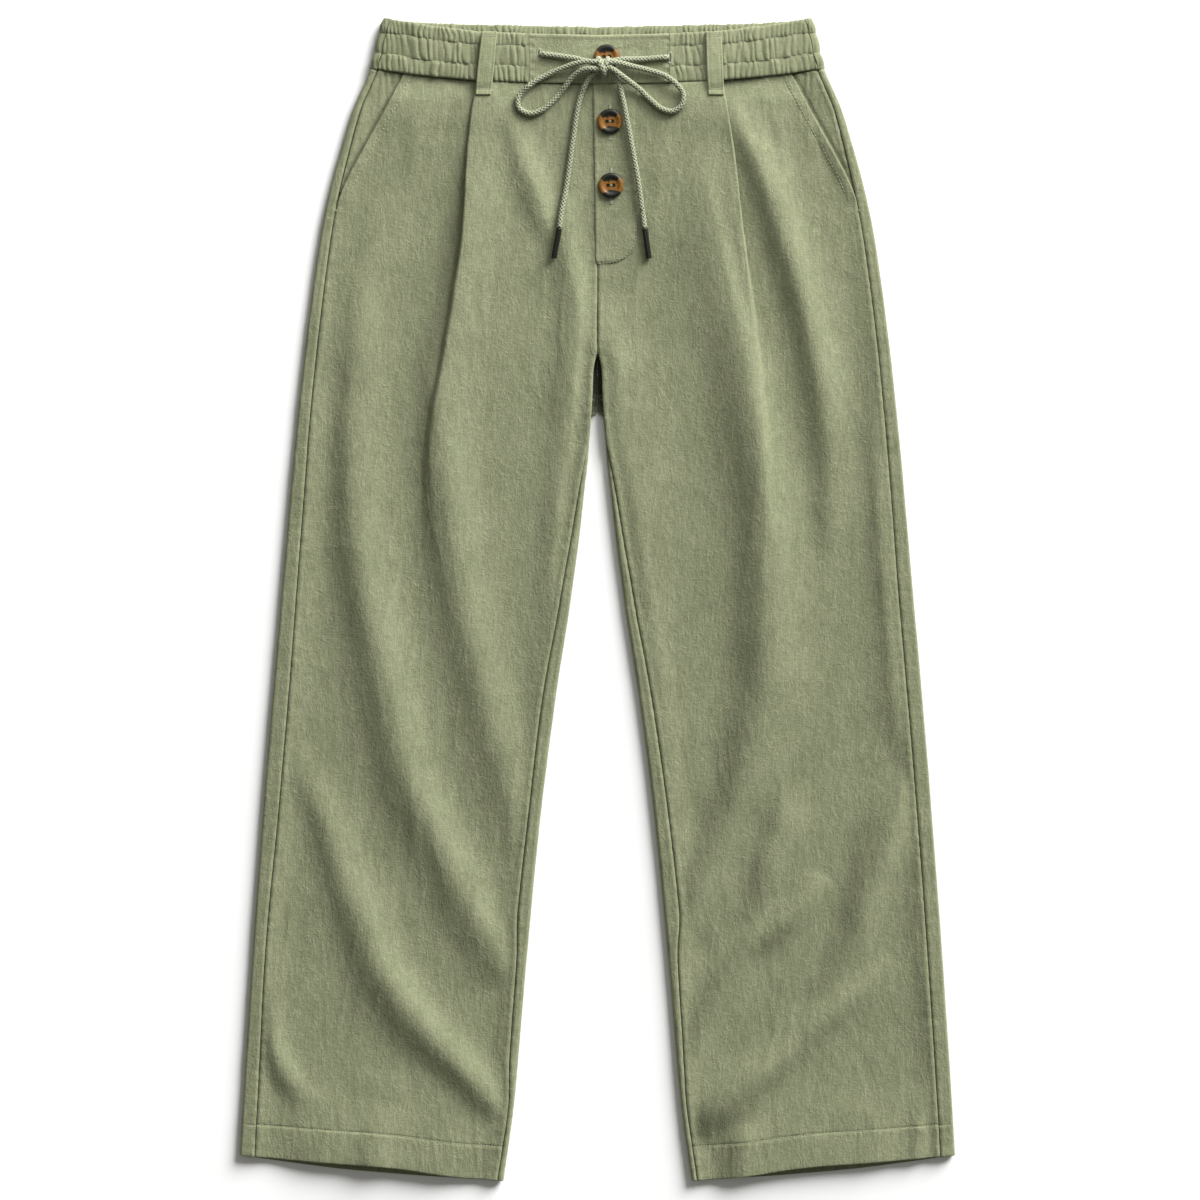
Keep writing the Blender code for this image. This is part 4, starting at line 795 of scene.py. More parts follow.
def frontGrid(side):
    # Middle of the front cloth as out, down and height, and how far each point is from the seams.
    row = hemRows(frontPanel["rowStep"])
    fine = frontPanel["edgeSteps"]
    start = onRow(row, frontCut, lambda down: frontInner(side, down))[:, None]
    end = onRow(row, frontCut, lambda down: frontEdge(side, down))[:, None]
    turnAt = onRow(row, frontCut, lambda down: curveAt(pleatLine[side], "out", down))
    turnDown = rowDown(row, turnAt, frontCut)
    pleatOut, drop = pleatSection(turnDown, frontPanel["pleatPoints"])
    row, turnAt = row[:, None], turnAt[:, None]
    restart = turnAt + pleatOut[:, -1:]
    innerShare, outerShare = (np.linspace(0, 1, int(np.max(run) / frontPanel["columnStep"]))[None, :]
                              for run in (turnAt - start, end - restart))
    toPleat = start + fine[-1] + innerShare[:, :-1] * (turnAt - start - fine[-1])
    toEdge = restart + outerShare[:, 1:] * (end - restart - fine[-1])
    out = np.concatenate([start + fine[:-1], toPleat, turnAt + pleatOut, toEdge, end - fine[-2::-1]], axis=1)
    down = rowDown(row, out, frontCut)
    height = frontHeight(side, out, down)
    first = len(fine) - 1 + toPleat.shape[1]
    height[:, :first] += pleatLift(side, out[:, :first], down[:, :first])
    height[:, first:first + drop.shape[1]] += pleatRise(turnDown)[:, None] - drop
    return joined(out, down, height), out - start, end - out, np.broadcast_to(row, out.shape)


def frontRelief(side, points, fromInner, fromEdge, row):
    out, down = points[..., 0], points[..., 1]
    seed, stitch = frontPanel["seed"][side], frontPanel["pocketStitch"]
    onPocket = 1 - ease(160, 166, down)
    pocket = roundOver(fromEdge, 1.3, 0.6) + 0.3 * (1 - ease(stitch - 0.6, stitch + 0.8, fromEdge))
    gathers = 0.3 * crumple(down, fromEdge, 5, 16, 0, seed + 4) * (1 - ease(6, 14, fromEdge))
    pocket = pocket - 0.35 * bell(fromEdge - stitch, 0.8) + gathers
    relief = seamRelief(fromEdge, down, seed) * (1 - onPocket) + pocket * onPocket
    relief = relief + seamRelief(fromInner, down, seed + 2) + hemRelief(out, row, seed + 9) + hemRound(row)
    clear = ease(0, 5, fromInner) * ease(0, 4, fromEdge)
    return relief + surfaceCrumple(sides[side] * out, down, seed + 20) * clear


def buildFront(side):
    points, fromInner, fromEdge, row = frontGrid(side)
    wall = wallAt(row)
    outside = lifted(points, wall / 2 + frontRelief(side, points, fromInner, fromEdge, row))
    inside = lifted(points, -wall / 2)
    cloth = (sides[side] * points[..., 0], points[..., 1])
    piece = shell("frontCloth_" + side, side, outside, inside, cloth, linen)
    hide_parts("front_" + side)


backPanel = {
    "rowStep": 2.6,
    "stripSteps": np.array((0, 0.4, 0.9, 1.6, 2.6, 3.8)),
    "turnPoints": 15,
    "underPoints": 26,
    "flatEnd": 9.0,          # above the crotch, where the floor part ends its last few columns
    "seed": {"right": 71, "left": 61},
}


def innerWrap(side, row, thick, radius):
    # Along the floor to the centre seam or, below the crotch, up round the inner edge to the inseam.
    turns, strip = backPanel["turnPoints"], len(backPanel["stripSteps"])
    if row < trousers["backCrotch"]:
        return joined(np.linspace(backPanel["flatEnd"], gap / 2, turns + strip), thick / 2)
    edge = float(onRow(row, backCut, lambda down: curveAt(innerEdge, "edge", down)))
    inset = float(onRow(row, backCut, lambda down: inseam(side, down))) - edge
    if row < 345:
        turn, edge = math.radians(40), gap / 2
    elif inset < thick / 2 + gap / 2:
        turn = math.radians(np.interp(row, (345, 369), (70, 92)))
    else:
        turn = math.pi - math.asin(min(max(1 - (inset - thick / 2 - gap / 2) / radius, 0), 1))
    reach = radius * math.sin(turn) if turn < math.pi / 2 else radius
    foot = edge + thick / 2 + reach
    angle = np.linspace(0, turn, turns)
    bent = joined(foot - radius * np.sin(angle), thick / 2 + radius * (1 - np.cos(angle)))
    lastOut, lastHigh = bent[-1]
    straight = max(edge + inset - gap / 2 - lastOut, 0.3) if turn > 3.1 else 0.3
    run = np.linspace(0, straight, strip + 1)[1:]
    return np.concatenate([bent, joined(lastOut - run * math.cos(turn), lastHigh + run * math.sin(turn))])


def backGrid(side):
    # Middle of the back cloth: a strip on top, round the outer edge, along the floor and the inner wrap.
    rows = hemRows(backPanel["rowStep"])
    fine = backPanel["stripSteps"]
    angle = np.linspace(0, math.pi, backPanel["turnPoints"])[1:]
    squared = np.abs(np.cos(angle)) ** 0.7 * np.sign(np.cos(angle))
    grid = []
    for row in rows:
        thick = float(wallAt(row))
        seam = float(onRow(row, backCut, lambda down: sideSeam(side, down)))
        high = float(curveAt(edgeHeight, "height", rowDown(row, seam, backCut)))
        radius = (high - thick) / 2
        edge = float(onRow(row, backCut, lambda down: curveAt(outerEdge, "edge", down)))
        start, centre = seam + gap / 2, edge - thick / 2 - radius
        strip = np.append(start + fine * min((centre - start) / (fine[-1] + 0.8), 1), centre)
        wrap = innerWrap(side, row, thick, radius)
        under = np.linspace(centre, wrap[0][0], backPanel["underPoints"] + 2)[1:-1]
        grid.append(np.concatenate([
            joined(strip, high - thick / 2),
            joined(centre + radius * np.sin(angle) ** 0.6, high / 2 + radius * squared),
            joined(under, thick / 2), wrap]))
    out, height = np.moveaxis(np.array(grid), -1, 0)
    return joined(out, rowDown(rows[:, None], out, backCut), height), rows


# Painted shade: darker copies of the linen for the backs' cloth in the deep shade between the legs, down from
# the fork.
forkShade = table("start stop tone", (285, 331, 0.12), (331, 338, 0.28), (338, 347, 0.5))
forkHalf = 9 * mm
forkShadeLinens = [linenMaterial("forkShadeLinen_%d" % i, shade=tone) for i, tone in enumerate(forkShade["tone"], 1)]


def shadeFork(piece):
    # The faces there take the darker copies of the linen: painted shade.
    for cloth in forkShadeLinens:
        piece.data.materials.append(cloth)
    for face in piece.data.polygons:
        down = trousers["length"] / 2 - face.center.y / mm
        shaded = (forkShade["start"] < down) & (down < forkShade["stop"]) & (abs(face.center.x) < forkHalf)
        if shaded.any():
            face.material_index = 1 + int(np.argmax(shaded))


def buildBack(side):
    points, rows = backGrid(side)
    row = np.broadcast_to(rows[:, None], points.shape[:2])
    out, down, height = (points[..., i] for i in range(3))
    wall = wallAt(row)
    along = np.stack([lengthAlong(line) for line in points[..., ::2]])
    seed = backPanel["seed"][side]
    split = down > trousers["backCrotch"] + 40
    relief = seamRelief(along, down, seed) + seamRelief(along[:, -1:] - along, down, seed + 2) * split
    relief = relief + 0.5 * surfaceCrumple(sides[side] * (along + 40), down, seed + 20) * ease(0, 4, along)
    relief = relief + hemRelief(along, row, seed + 9) * ease(10, 2, along)
    # The underside rests flat, so its creases only go up into the cloth.
    under = ease(1.5, 0.4, height - wall / 2)
    troughs = np.minimum(surfaceCrumple(sides[side] * out, down, seed + 40) - 0.2, 0) * 0.6
    relief = relief * (1 - under) + np.maximum(troughs, -0.5 * wall) * under + hemRound(row)
    outside, inside = lifted(points, wall / 2 + relief), lifted(points, -wall / 2)
    outside[..., 2] = np.maximum(outside[..., 2], 0)
    piece = shell("backCloth_" + side, side, outside, inside, (sides[side] * along, down), linen, skip=2)
    shadeFork(piece)
    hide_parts("back_" + side)


for side in sides:
    buildFront(side)
    buildBack(side)
print("legs made")


# The waistband, in three puffed rows between lines of stitching.

waistband = {
    "seam": 6.2,             # from the band's edge to where its back meets its front
    "height": 8.6,           # of the folded edge
    "cloth": 2.0,            # at a row of stitching
    "puff": 0.45,            # swell between two rows of stitching
    "gather": 2.1,           # from the bottom to the top of a gather
    "pitch": np.array((4.4, 5.7, 5.0)),      # of the gathers in each row
    "plainHalf": {"right": 59.0, "left": 62.6},
    "plainCloth": 2.7,
    "fullness": 1.35,        # length of the cloth before it was gathered
    "columnStep": 0.6,
    "backColumns": 460,
    "backEndPoints": 19,
    "across": (0, 0.02, 0.05, 0.1, 0.16, 0.24, 0.34, 0.45, 0.55, 0.66, 0.76, 0.84, 0.9, 0.95, 0.98),
    "seed": {"right": 8, "left": 5, "backEnds": 14, "back": 17, "plain": 91},
}
# A place across the band runs from 0 to 3 over its four lines.
bandAcross = np.array([row + part for row in range(3) for part in waistband["across"]] + [3.0])[:, None]


def rowAndShare(across):
    row = np.clip(np.floor(across), 0, 2).astype(int)
    return row, across - row


def bandDown(out, across):
    out, across = np.broadcast_arrays(np.asarray(out, float), across)
    lines = np.stack([bandLine(name, out) for name in ("top", "row_1", "row_2", "bottom")])
    row, share = rowAndShare(across)
    low, high = (np.take_along_axis(lines, row[None] + i, axis=0)[0] for i in (0, 1))
    return low + (high - low) * share


def backBandDown(out, across):
    top, bottom = bandLine("back_top", out), bandLine("back_bottom", out)
    return top + (bottom - top) * np.interp(across, range(4), (0, 0.29, 0.685, 1))


def bandUnder(out):
    return np.interp(out, (0, 105, 141, 175, 199), (8.7, 8.7, 8.1, 7.0, 6.6))


def bandTop(out):
    # Highest that the front band gets under something that lies on it.
    shirred = waistband["cloth"] + waistband["puff"] + 1.4
    return bandUnder(out) + np.where(out < 61, waistband["plainCloth"], shirred)


def swellAt(across):
    return np.sin(math.pi * np.clip(rowAndShare(across)[1], 0, 1)) ** 1.1


def gatherAt(along, across, seed):
    # From 0 in the dip between two gathers to 1 on top of one.
    row, share = rowAndShare(across)
    drift = 0.8 * softNoise(along / 19, row * 9.3, seed)
    drift = drift + 0.32 * softNoise(along / 7, row * 5 + share * 1.6, seed + 1)
    slant = 0.35 * (share - 0.5) * softNoise(along / 13, row * 4.1, seed + 3)
    turns = along / waistband["pitch"][row] + drift + row * 0.37 + slant
    fromTop = 2 * np.abs(turns - np.round(turns))
    ridge = np.sqrt(np.maximum(1 - fromTop ** 2, 0)) ** 1.3
    return ridge * (0.76 + 0.62 * softNoise(along / 5.5, row * 3 + share * 0.9 + 20, seed + 2))


def stitchDent(across):
    # A stitched line pulls the band in.
    return -0.2 * bell(np.minimum(np.abs(across - 1), np.abs(across - 2)) * 13.0, 0.8)


def buildSideBand(side):
    sign, across = sides[side], bandAcross
    swell = swellAt(across)
    start = waistband["plainHalf"][side] + gap
    edge = curveAt(outerEdge, "edge", bandDown(190.0, across)) + 0.8 * swell - waistband["seam"] - gap
    count = int((186 - start) / waistband["columnStep"])
    out = start + (edge - start) * spacing(0, 1, 1 / count, fine=(0, 0.003, 0.007, 0.012))[None, :]
    down = bandDown(out, across)
    under = bandUnder(out)
    gather = gatherAt(sign * out, across, waistband["seed"][side])
    fade = (0.55 + 0.45 * swell) * (1 - 0.4 * np.sin(math.pi * rowAndShare(across)[1]) ** 2)
    height = under + waistband["cloth"] - 0.5 + waistband["puff"] * swell
    height = height + waistband["gather"] * gather * fade + stitchDent(across)
    height = height + roundOver(across * 11, 1.6, 1.3) + roundOver((3 - across) * 14, 1.6, 1.3)
    height = height + roundOver(edge - out, 1.4, 1.2)
    # The gathers die out unevenly where the plain part starts.
    reach = 4.5 + 3.5 * softNoise(down / 4.2, 0.4, 6 + sign)
    plain = under + waistband["plainCloth"]
    height = plain + (height - plain) * ease(0, reach, out - start)
    # The band's two edges waver with the gathers.
    wave = 0.7 * (gather - 0.6)
    down = down - wave * bell(across, 0.12) + 0.4 * wave * bell(3 - across, 0.12)
    top, low = joined(out, down, np.maximum(height, under + 0.8)), joined(out, down, under)
    cloth = (sign * out * waistband["fullness"], down)
    piece = shell("shirredBand_" + side, side, top, low, cloth, bandLinen)
    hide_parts("waistband_" + side)


def buildCentreBand():
    # The plain part, over the fly. Its cloth ripples a little towards the button and the slits.
    across, half, seed = bandAcross, waistband["plainHalf"], waistband["seed"]["plain"]
    x = spacing(-half["right"], half["left"], 1.2, fine=(0, 0.4, 0.9, 1.6))[None, :]
    down = bandDown(np.abs(x), across)
    under = bandUnder(np.abs(x))
    pull = 0.38 * crumple(x / 2.6, down, 4.2, 9, 84, seed)
    pull = pull * bell(x - buttons["top"][0], 34) * bell(down - 34, 13)
    height = under + waistband["plainCloth"] + pull + 0.3 * softNoise(x / 16, down / 7, seed + 1)
    puckers = 0.35 * np.sin(down / 1.1 + 1.5 * softNoise(down / 6, x / 9, seed + 2))
    for line in (-half["right"] + 1.5, half["left"] - 1.5):
        height = height - 0.25 * bell(x - line, 0.8) + 0.8 * puckers * bell(x - line, 3.0)
    height = height + roundOver(across * 11, 1.7, 1.4) + roundOver((3 - across) * 14, 1.5, 1.4)
    height = height + 0.35 * bell(across * 11 - 2.2, 1.3)
    piece = shell("plainBand", "left", joined(x, down, height), joined(x, down, under), (x, down), linen)
    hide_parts("waistband_centre")


def buildBackBand():
    # Wraps round both edges. Its gathers show on the inner face, and its outside lies flat.
    radius, cloth, across = waistband["height"] / 2, waistband["cloth"], bandAcross
    swell = swellAt(across)
    reach = curveAt(outerEdge, "edge", backBandDown(190.0, across)) + 0.8 * swell
    centre = reach - radius
    angle = np.linspace(0, math.pi, waistband["backEndPoints"])[None, :]
    turned = np.concatenate([np.zeros((1, 4)), angle], axis=1)
    strip = reach - waistband["seam"] + (centre - reach + waistband["seam"]) * np.linspace(0, 1, 5)[None, :-1]
    wrapOut, wrapIn = (np.concatenate([strip, centre + bend * np.sin(angle)], axis=1)
                       for bend in (radius, radius - cloth))
    wrapDown = backBandDown(wrapOut, across)
    gather = gatherAt(wrapOut + 2 * turned, across, waistband["seed"]["backEnds"])
    shown = np.maximum(np.cos(turned * 0.62), 0) ** 2
    bulge = (0.9 * swell + (gather - 0.5) * 1.3 * (0.3 + 0.7 * swell) + stitchDent(across)) * shown
    outerEnd = joined(wrapOut + bulge * np.sin(turned), wrapDown, radius + (radius + bulge) * np.cos(turned))
    innerEnd = joined(wrapIn, wrapDown, radius + (radius - cloth) * np.cos(turned))
    # Between the two ends, the gathers stand up from the floor.
    x = centre * np.linspace(-1, 1, waistband["backColumns"] + 2)[None, 1:-1]
    gather = gatherAt(x, across, waistband["seed"]["back"])
    shown = across < 1
    height = cloth + 0.5 * swell * shown + 1.9 * (gather - 0.25) * (0.25 + 0.75 * swell) * (0.2 + 0.8 * shown)
    height = height + roundOver(across * 12, 1.6, 1.2)
    down = backBandDown(np.abs(x), across) - 0.8 * (gather - 0.6) * bell(across, 0.12)
    outer, inner = (np.concatenate([end * (-1, 1, 1), middle, end[:, ::-1]], axis=1) for end, middle in (
        (outerEnd, joined(x, down, 0)), (innerEnd, joined(x, down, np.maximum(height, 0.7)))))
    along = np.stack([lengthAlong(line) for line in outer])
    flat = (along * waistband["fullness"], outer[..., 1])
    piece = shell("backBand", "left", outer, inner, flat, bandLinen, skip=1)
    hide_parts("waistband_back")


# The pieces on the front.

placket = {
    "outline": table("down inner outer", (58, 4.1, 34.6), (132, 2.7, 34.6), (190, 2.0, 34.4),
                     (203, 1.9, 30.5), (210, 1.8, 23.5), (214, 1.7, 13), (215.6, 1.7, 5)),
    "end": 215.0,
    "cloth": 1.2,
    "seed": 44,
    "stitchIn": 0.3,         # from the outer edge to its stitches
    # Where the stitches turn round the lower end, across and down.
    "stitchedEnd": ((34.0, 190), (32.6, 196), (30.8, 201), (28.2, 205), (24.9, 208.5), (21.0, 211.2),
                    (16.0, 213.1), (9.2, 214.2), (1.8, 214.6)),
}
buttons = {"top": (8.1, 34.7), "middle": (10.8, 90.9), "lower": (11.8, 146.6)}


def placketTop(x, down):
    under = frontTop("left", np.maximum(x, 0.5), down)
    other = np.where(x < 0.5, frontTop("right", np.maximum(-x, 0.5), down), 0)
    return np.maximum(under, other) + gap + placket["cloth"]


def buildPlacket():
    # The left front laps over the right one here and ends in a curve.
    edges = np.array([0, 0.4])
    row = np.concatenate([edges, np.arange(60, 190, 1.3), np.arange(190, 214, 0.9), [214.0, 214.4, 214.7]])
    row = row[:, None]
    start = -curveAt(placket["outline"], "inner", row)
    end = curveAt(placket["outline"], "outer", row)
    fine = np.array((0, 0.3, 0.7, 1.2, 1.9, 2.6, 3.4, 4.4)) * np.minimum(1, (end - start) / 2 / 5.0)
    share = np.linspace(0, 1, 24)[None, 1:-1]
    first, last = start + fine, end - fine[:, ::-1]
    x = np.concatenate([first, first[:, -1:] + share * (last[:, :1] - first[:, -1:]), last], axis=1)
    down = np.where(row < 1, bandLine("bottom", np.abs(x)) + gap + row, row)
    fromInner, fromOuter, fromEnd = x - start, end - x, placket["end"] - down
    fromRim = np.minimum(fromOuter, fromEnd)
    base = placketTop(x, down) - placket["cloth"] - 0.24 * (1 - ease(0, 3, fromRim))
    thin = ease(0.2, 7.0, np.minimum(fromOuter, fromEnd + 1.0))
    thick = placket["cloth"] * (0.2 + 0.8 * thin)
    thick = thick + roundOver(fromInner, 1.1, 0.6) + 0.25 * bell(fromInner - 2, 1.2)
    toStitch = fromRim - placket["stitchIn"]
    thick = thick + 0.3 * bell(toStitch - 1.9, 1.1)
    seed = placket["seed"]
    puckers = np.sin(down / 1.6 + 2 * softNoise(down / 11, 0.2, seed))
    thick = thick + 0.22 * puckers * np.exp(-np.abs(toStitch) / 3)
    for centreOut, centreDown in (buttons["middle"], buttons["lower"]):
        away = np.hypot(x - centreOut, down - centreDown)
        thick = thick + 0.5 * crumple(x, down - centreDown, 22, 4.6, 0, seed + 3) * bell(away, 20)
    thick = thick + 0.25 * softNoise(x / 9, down / 22, seed + 4) * thin
    thick = thick + 0.5 * surfaceCrumple(x, down, seed + 5) * thin
    top, low = joined(x, down, base + np.maximum(thick, 0.2)), joined(x, down, base)
    piece = shell("flyPlacket", "left", top, low, (x, down), linen)
    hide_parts("fly_placket")


pocketFacing = {
    "rows": 90,
    "columns": 44,
    "end": 153.0,
    "hidden": 12.0,          # how far it runs on under the pocket's edge
    "seed": 83,
}


def buildFacing(side):
    # Cloth behind a slanted pocket, gathered a little under the waistband.
    row = np.linspace(0, 1, pocketFacing["rows"])[:, None]
    across = np.linspace(0, 1, pocketFacing["columns"])[None, :]
    seed = pocketFacing["seed"]
    top = curveAt(bandLines, "bottom", 193 - 36 * across) + gap
    down = top + (pocketFacing["end"] - top) * row
    seam, pocket = sideSeam(side, down) - gap, curveAt(pocketEdge, "out", down)
    out = seam + (pocket - pocketFacing["hidden"] - seam) * across
    fromSeam, fromTop = seam - out, down - top
    relief = seamRelief(fromSeam, down, seed) + roundOver(fromTop, 1.2, 0.5)
    gathers = np.sin(out / 1.15 + 2 * softNoise(out / 9, down / 40, seed + 1)) * np.exp(-fromTop / 13)
    relief = relief + 0.75 * gathers * ease(0.0, 1.5, fromTop)
    relief = relief + 0.7 * surfaceCrumple(out, down, seed + 2) * ease(0, 3, fromSeam)
    relief = np.maximum(relief - 0.9 * bell(out - pocket - 1.5, 2.4), -0.95)
    points = joined(out, down, facingHeight(side, out, down))[:, ::-1]
    outside = lifted(points, trousers["cloth"] / 2 + relief[:, ::-1])
    inside = lifted(points, -trousers["cloth"] / 2)
    cloth = (sides[side] * points[..., 0], points[..., 1])
    piece = shell("pocketFacing_" + side, side, outside, inside, cloth, linen)
    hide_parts("pocket_facing_" + side)


beltLoops = {
    "width": 14.0,
    "cloth": 1.6,
    "top": 12.6,
    "bottom": 67.8,
    "tacks": (62.6, 16.5),   # the two bars that hold its ends
    "right": (94.3, 99.8),   # out at the top and at the bottom
    "left": (101.2, 103.6),
    "rise": table("down rise", (12.6, 0.1), (16, 0.5), (22, 1.0), (34, 1.2), (46, 1.0), (53, 0.6),
                  (57.5, 0.2), (62, 0), (67.8, 0)),
}


def loopBase(side, down):
    centre = np.interp(down, (beltLoops["top"], beltLoops["bottom"]), beltLoops[side])
    across = [centre + part * beltLoops["width"] for part in (-0.5, 0, 0.5)]
    band = np.max([bandTop(out) for out in across], axis=0)
    front = np.max([frontTop(side, out, down) for out in across], axis=0)
    base = front + (band - front) * ease(65, 56.5, down) + gap
    return centre, base + np.interp(down, beltLoops["rise"]["down"], beltLoops["rise"]["rise"])


def buildBeltLoop(side):
    down = spacing(beltLoops["top"], beltLoops["bottom"], 0.9, fine=(0, 0.3, 0.7, 1.2))[:, None]
    across = spacing(-0.5, 0.5, 0.05, fine=(0, 0.02, 0.05, 0.09))[None, :]
    centre, base = loopBase(side, down)
    width = beltLoops["width"] * (1 - 0.03 * np.sin(down / 9))
    x = centre + width * across
    edge = width * (0.5 - np.abs(across))
    ends = np.minimum(down - beltLoops["top"], beltLoops["bottom"] - down)
    thick = beltLoops["cloth"] + roundOver(edge, 1.2, 0.7) + roundOver(ends, 1.0, 0.6)
    thick = thick - 0.4 * bell(edge - 2.2, 0.6) + 0.15 * bell(edge - 1.1, 0.5)
    for line in beltLoops["tacks"]:
        thick = thick - 0.3 * bell(down - line, 0.7)
    thick = thick + 0.18 * softNoise(x / 5, down / 9, 52 + sides[side])
    top, low = joined(x, down, base + thick), joined(x, down, base)
    piece = shell("beltLoopCloth_" + side, side, top, low, (x * sides[side], down), litLoopLinen)
    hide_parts("belt_loop_" + side)


for side in sides:
    buildSideBand(side)
    buildFacing(side)
    buildBeltLoop(side)
buildCentreBand()
buildBackBand()
buildPlacket()
print("waistband, pockets and placket made")


# The drawstring: two ends that meet in a bow. Each comes out of a slit, runs through the knot, turns in
# a loop, runs through the knot again and hangs down the front to its tip.

cordLook = {
    "diameter": 4.8,
    "strands": 4,            # of each hand round the braid
    "lay": 12.8,             # length of one turn of a strand
    "relief": 0.5,
    "ring": 0.55,            # step along the cord
    "around": 24,
    "settle": 4.0,           # length over which the cord bridges small dips
    "settleStep": 0.4,
    "slitDepth": 3.2,        # how far below the band's face it starts
    "slitRun": 5.0,          # length over which it comes up from there
}
lower = 4.3                  # lift of the strands that cross the top button
upper = 9.5                  # lift of the strands that lie on those


def route(*rows):
    return table("across down lift", *rows)


leads = {
    "right": route(
        (-50.6, 32.2, 0), (-42, 32.9, 0), (-30, 34.6, 0.3), (-19, 36.4, 1.6), (-10.5, 38.6, 3.6),
        (-2, 40.4, lower)),
    "left": route(
        (62.8, 35.1, 0), (53, 35.6, 0), (42.4, 36.6, 0.3), (31, 37, 1.8), (21, 37.3, 3.8),
        (12.8, 38.6, lower)),
}
loops = {
    "right": route(
        (-2.2, 39.9, upper), (-9, 39.8, 8.6), (-18, 41, 6.2), (-32, 45.5, 2.6), (-44, 50.6, 0.9),
        (-55, 56.6, 0.8), (-64, 64, 0.3), (-69.3, 71.2, 0.1), (-68.6, 79.2, 0), (-60, 84, 0),
        (-49.4, 81.6, 0.1), (-40.4, 74.6, 0.3), (-30.2, 63.2, 0.8), (-21.5, 52.5, 4), (-12.6, 46.6, 8),
        (-2.2, 45.9, upper)),
    "left": route(
        (13, 46.1, upper), (18, 49.6, 9.4), (26, 55.2, 5.2), (36, 62.6, 1.6), (46.6, 72.4, 0.3),
        (56.2, 80, 0.1), (65.2, 82.2, 0), (73.6, 76.6, 0), (75, 68, 0.2), (69, 58.8, 0.8),
        (59.4, 51.6, 1.0), (43.6, 46.4, 2.2), (28, 42.8, 5.0), (20, 40.9, 8.2), (13, 40.2, upper)),
}
tails = {
    "right": route(
        (-2.4, 48.6, lower), (-7.6, 54, 2.2), (-12, 62, 0.4), (-15.6, 72, 0), (-18.8, 88.4, 0),
        (-21.4, 105.4, 0), (-24.6, 129, 0), (-28.4, 153.6, 0), (-32, 172.8, 0), (-33.2, 183.4, 0)),
    "left": route(
        (13.4, 48.4, lower), (18.6, 58, 2.4), (22.2, 72, 1.4), (25.4, 88.4, 1.2), (28.6, 105.4, 1),
        (32.2, 124.7, 1), (35.6, 143.5, 0.7), (38.6, 165, 0), (41.2, 183.4, 0)),
}


def underCord(x, down):
    # Highest thing that a cord lies on, apart from the top button.
    out = np.abs(x)
    top = np.where(x >= 0, frontTop("left", out, down), frontTop("right", out, down))
    onPlacket = (x > -5) & (x < 37) & (down < 214)
    top = np.where(onPlacket, np.maximum(placketTop(x, down), top), top)
    below = down - bandLine("bottom", out)
    return top + np.maximum(bandTop(out) - top, 0) * np.where(below < 1, 1.0, ease(10, 1, below))


def roundCurve(points, step):
    # Points a step apart along a round curve through the given ones.
    along = lengthAlong(points[:, :2])
    slope = np.gradient(points, along, axis=0)
    at = np.linspace(0, along[-1], int(round(along[-1] / step)) + 1)
    return joined(*(throughKnots(along, points[:, i], slope[:, i], at) for i in range(3)))


def pointsAt(line, at):
    # Points at given lengths along a line.
    along = lengthAlong(line)
    return joined(*(np.interp(at, along, line[:, i]) for i in range(3)))


def evenSteps(line, step):
    length = lengthAlong(line)[-1]
    return pointsAt(line, np.linspace(0, length, int(length / step) + 1))


def settled(points, radius):
    # A route's own points turned into the cord's middle line, lying on what is under it.
    step = cordLook["settleStep"]
    x, down, lift = roundCurve(points, step).T
    beside = (-0.8 * radius, 0, 0.8 * radius)
    under = np.max([underCord(x + dx, down + dy) for dx in beside for dy in beside], axis=0)
    window = np.exp(-np.linspace(-2, 2, int(2 * cordLook["settle"] / step) | 1) ** 2)
    window /= window.sum()
    level = np.convolve(np.pad(under, len(window) // 2, mode="edge"), window, mode="valid")
    return joined(x, down, np.maximum(level, under - 0.2) + gap + radius + lift)


def tube(line, radius, around, relief=None):
    # Rings of points round a line, given as across, down and height. relief takes the angle and the length.
    ahead = np.gradient(line, axis=0)
    ahead /= np.linalg.norm(ahead, axis=1, keepdims=True)
    beside = np.cross(ahead, (0, 0, 1))
    beside /= np.linalg.norm(beside, axis=1, keepdims=True)
    above = np.cross(beside, ahead)
    angle = np.linspace(0, 2 * math.pi, around, endpoint=False)[None, :] - math.pi / 2
    size = np.broadcast_to(radius, len(line))[:, None] + 0 * angle
    if relief:
        size = size + relief(angle, lengthAlong(line)[:, None])
    return (line[:, None, :] + beside[:, None, :] * (size * np.cos(angle))[..., None]
            + above[:, None, :] * (size * np.sin(angle))[..., None])


def tubeFaces(rings, around, first):
    index = first + np.arange(rings * around).reshape(rings, around)
    beyond = np.roll(index, -1, axis=1)
    faces = np.stack([index[:-1], beyond[:-1], beyond[1:], index[1:]], axis=-1).reshape(-1, 4).tolist()
    return faces + [index[0, ::-1].tolist(), index[-1].tolist()]


def tubePiece(name, tubes, finish):
    points, faces, uvs = [], [], []
    for rings in tubes:
        faces += tubeFaces(*rings.shape[:2], sum(len(part) for part in points))
        points.append(rings.reshape(-1, 3))
        lozenges = lengthAlong(rings.mean(axis=1))[:, None] * cordLook["strands"] / cordLook["lay"]
        turn = np.linspace(0, 1, rings.shape[1], endpoint=False)[None, :]
        uvs.append(joined(turn, lozenges).reshape(-1, 2))
    return meshPiece(name, placed("left", np.concatenate(points)), faces, finish, np.concatenate(uvs))


def braid(angle, along):
    # Strands of both hands cross over and under each other.
    strands, turn = cordLook["strands"], 2 * math.pi * along / cordLook["lay"]
    one, other = np.cos(strands * angle + turn * strands), np.cos(strands * angle - turn * strands)
    return cordLook["relief"] * (np.maximum(one, other) - 0.8)


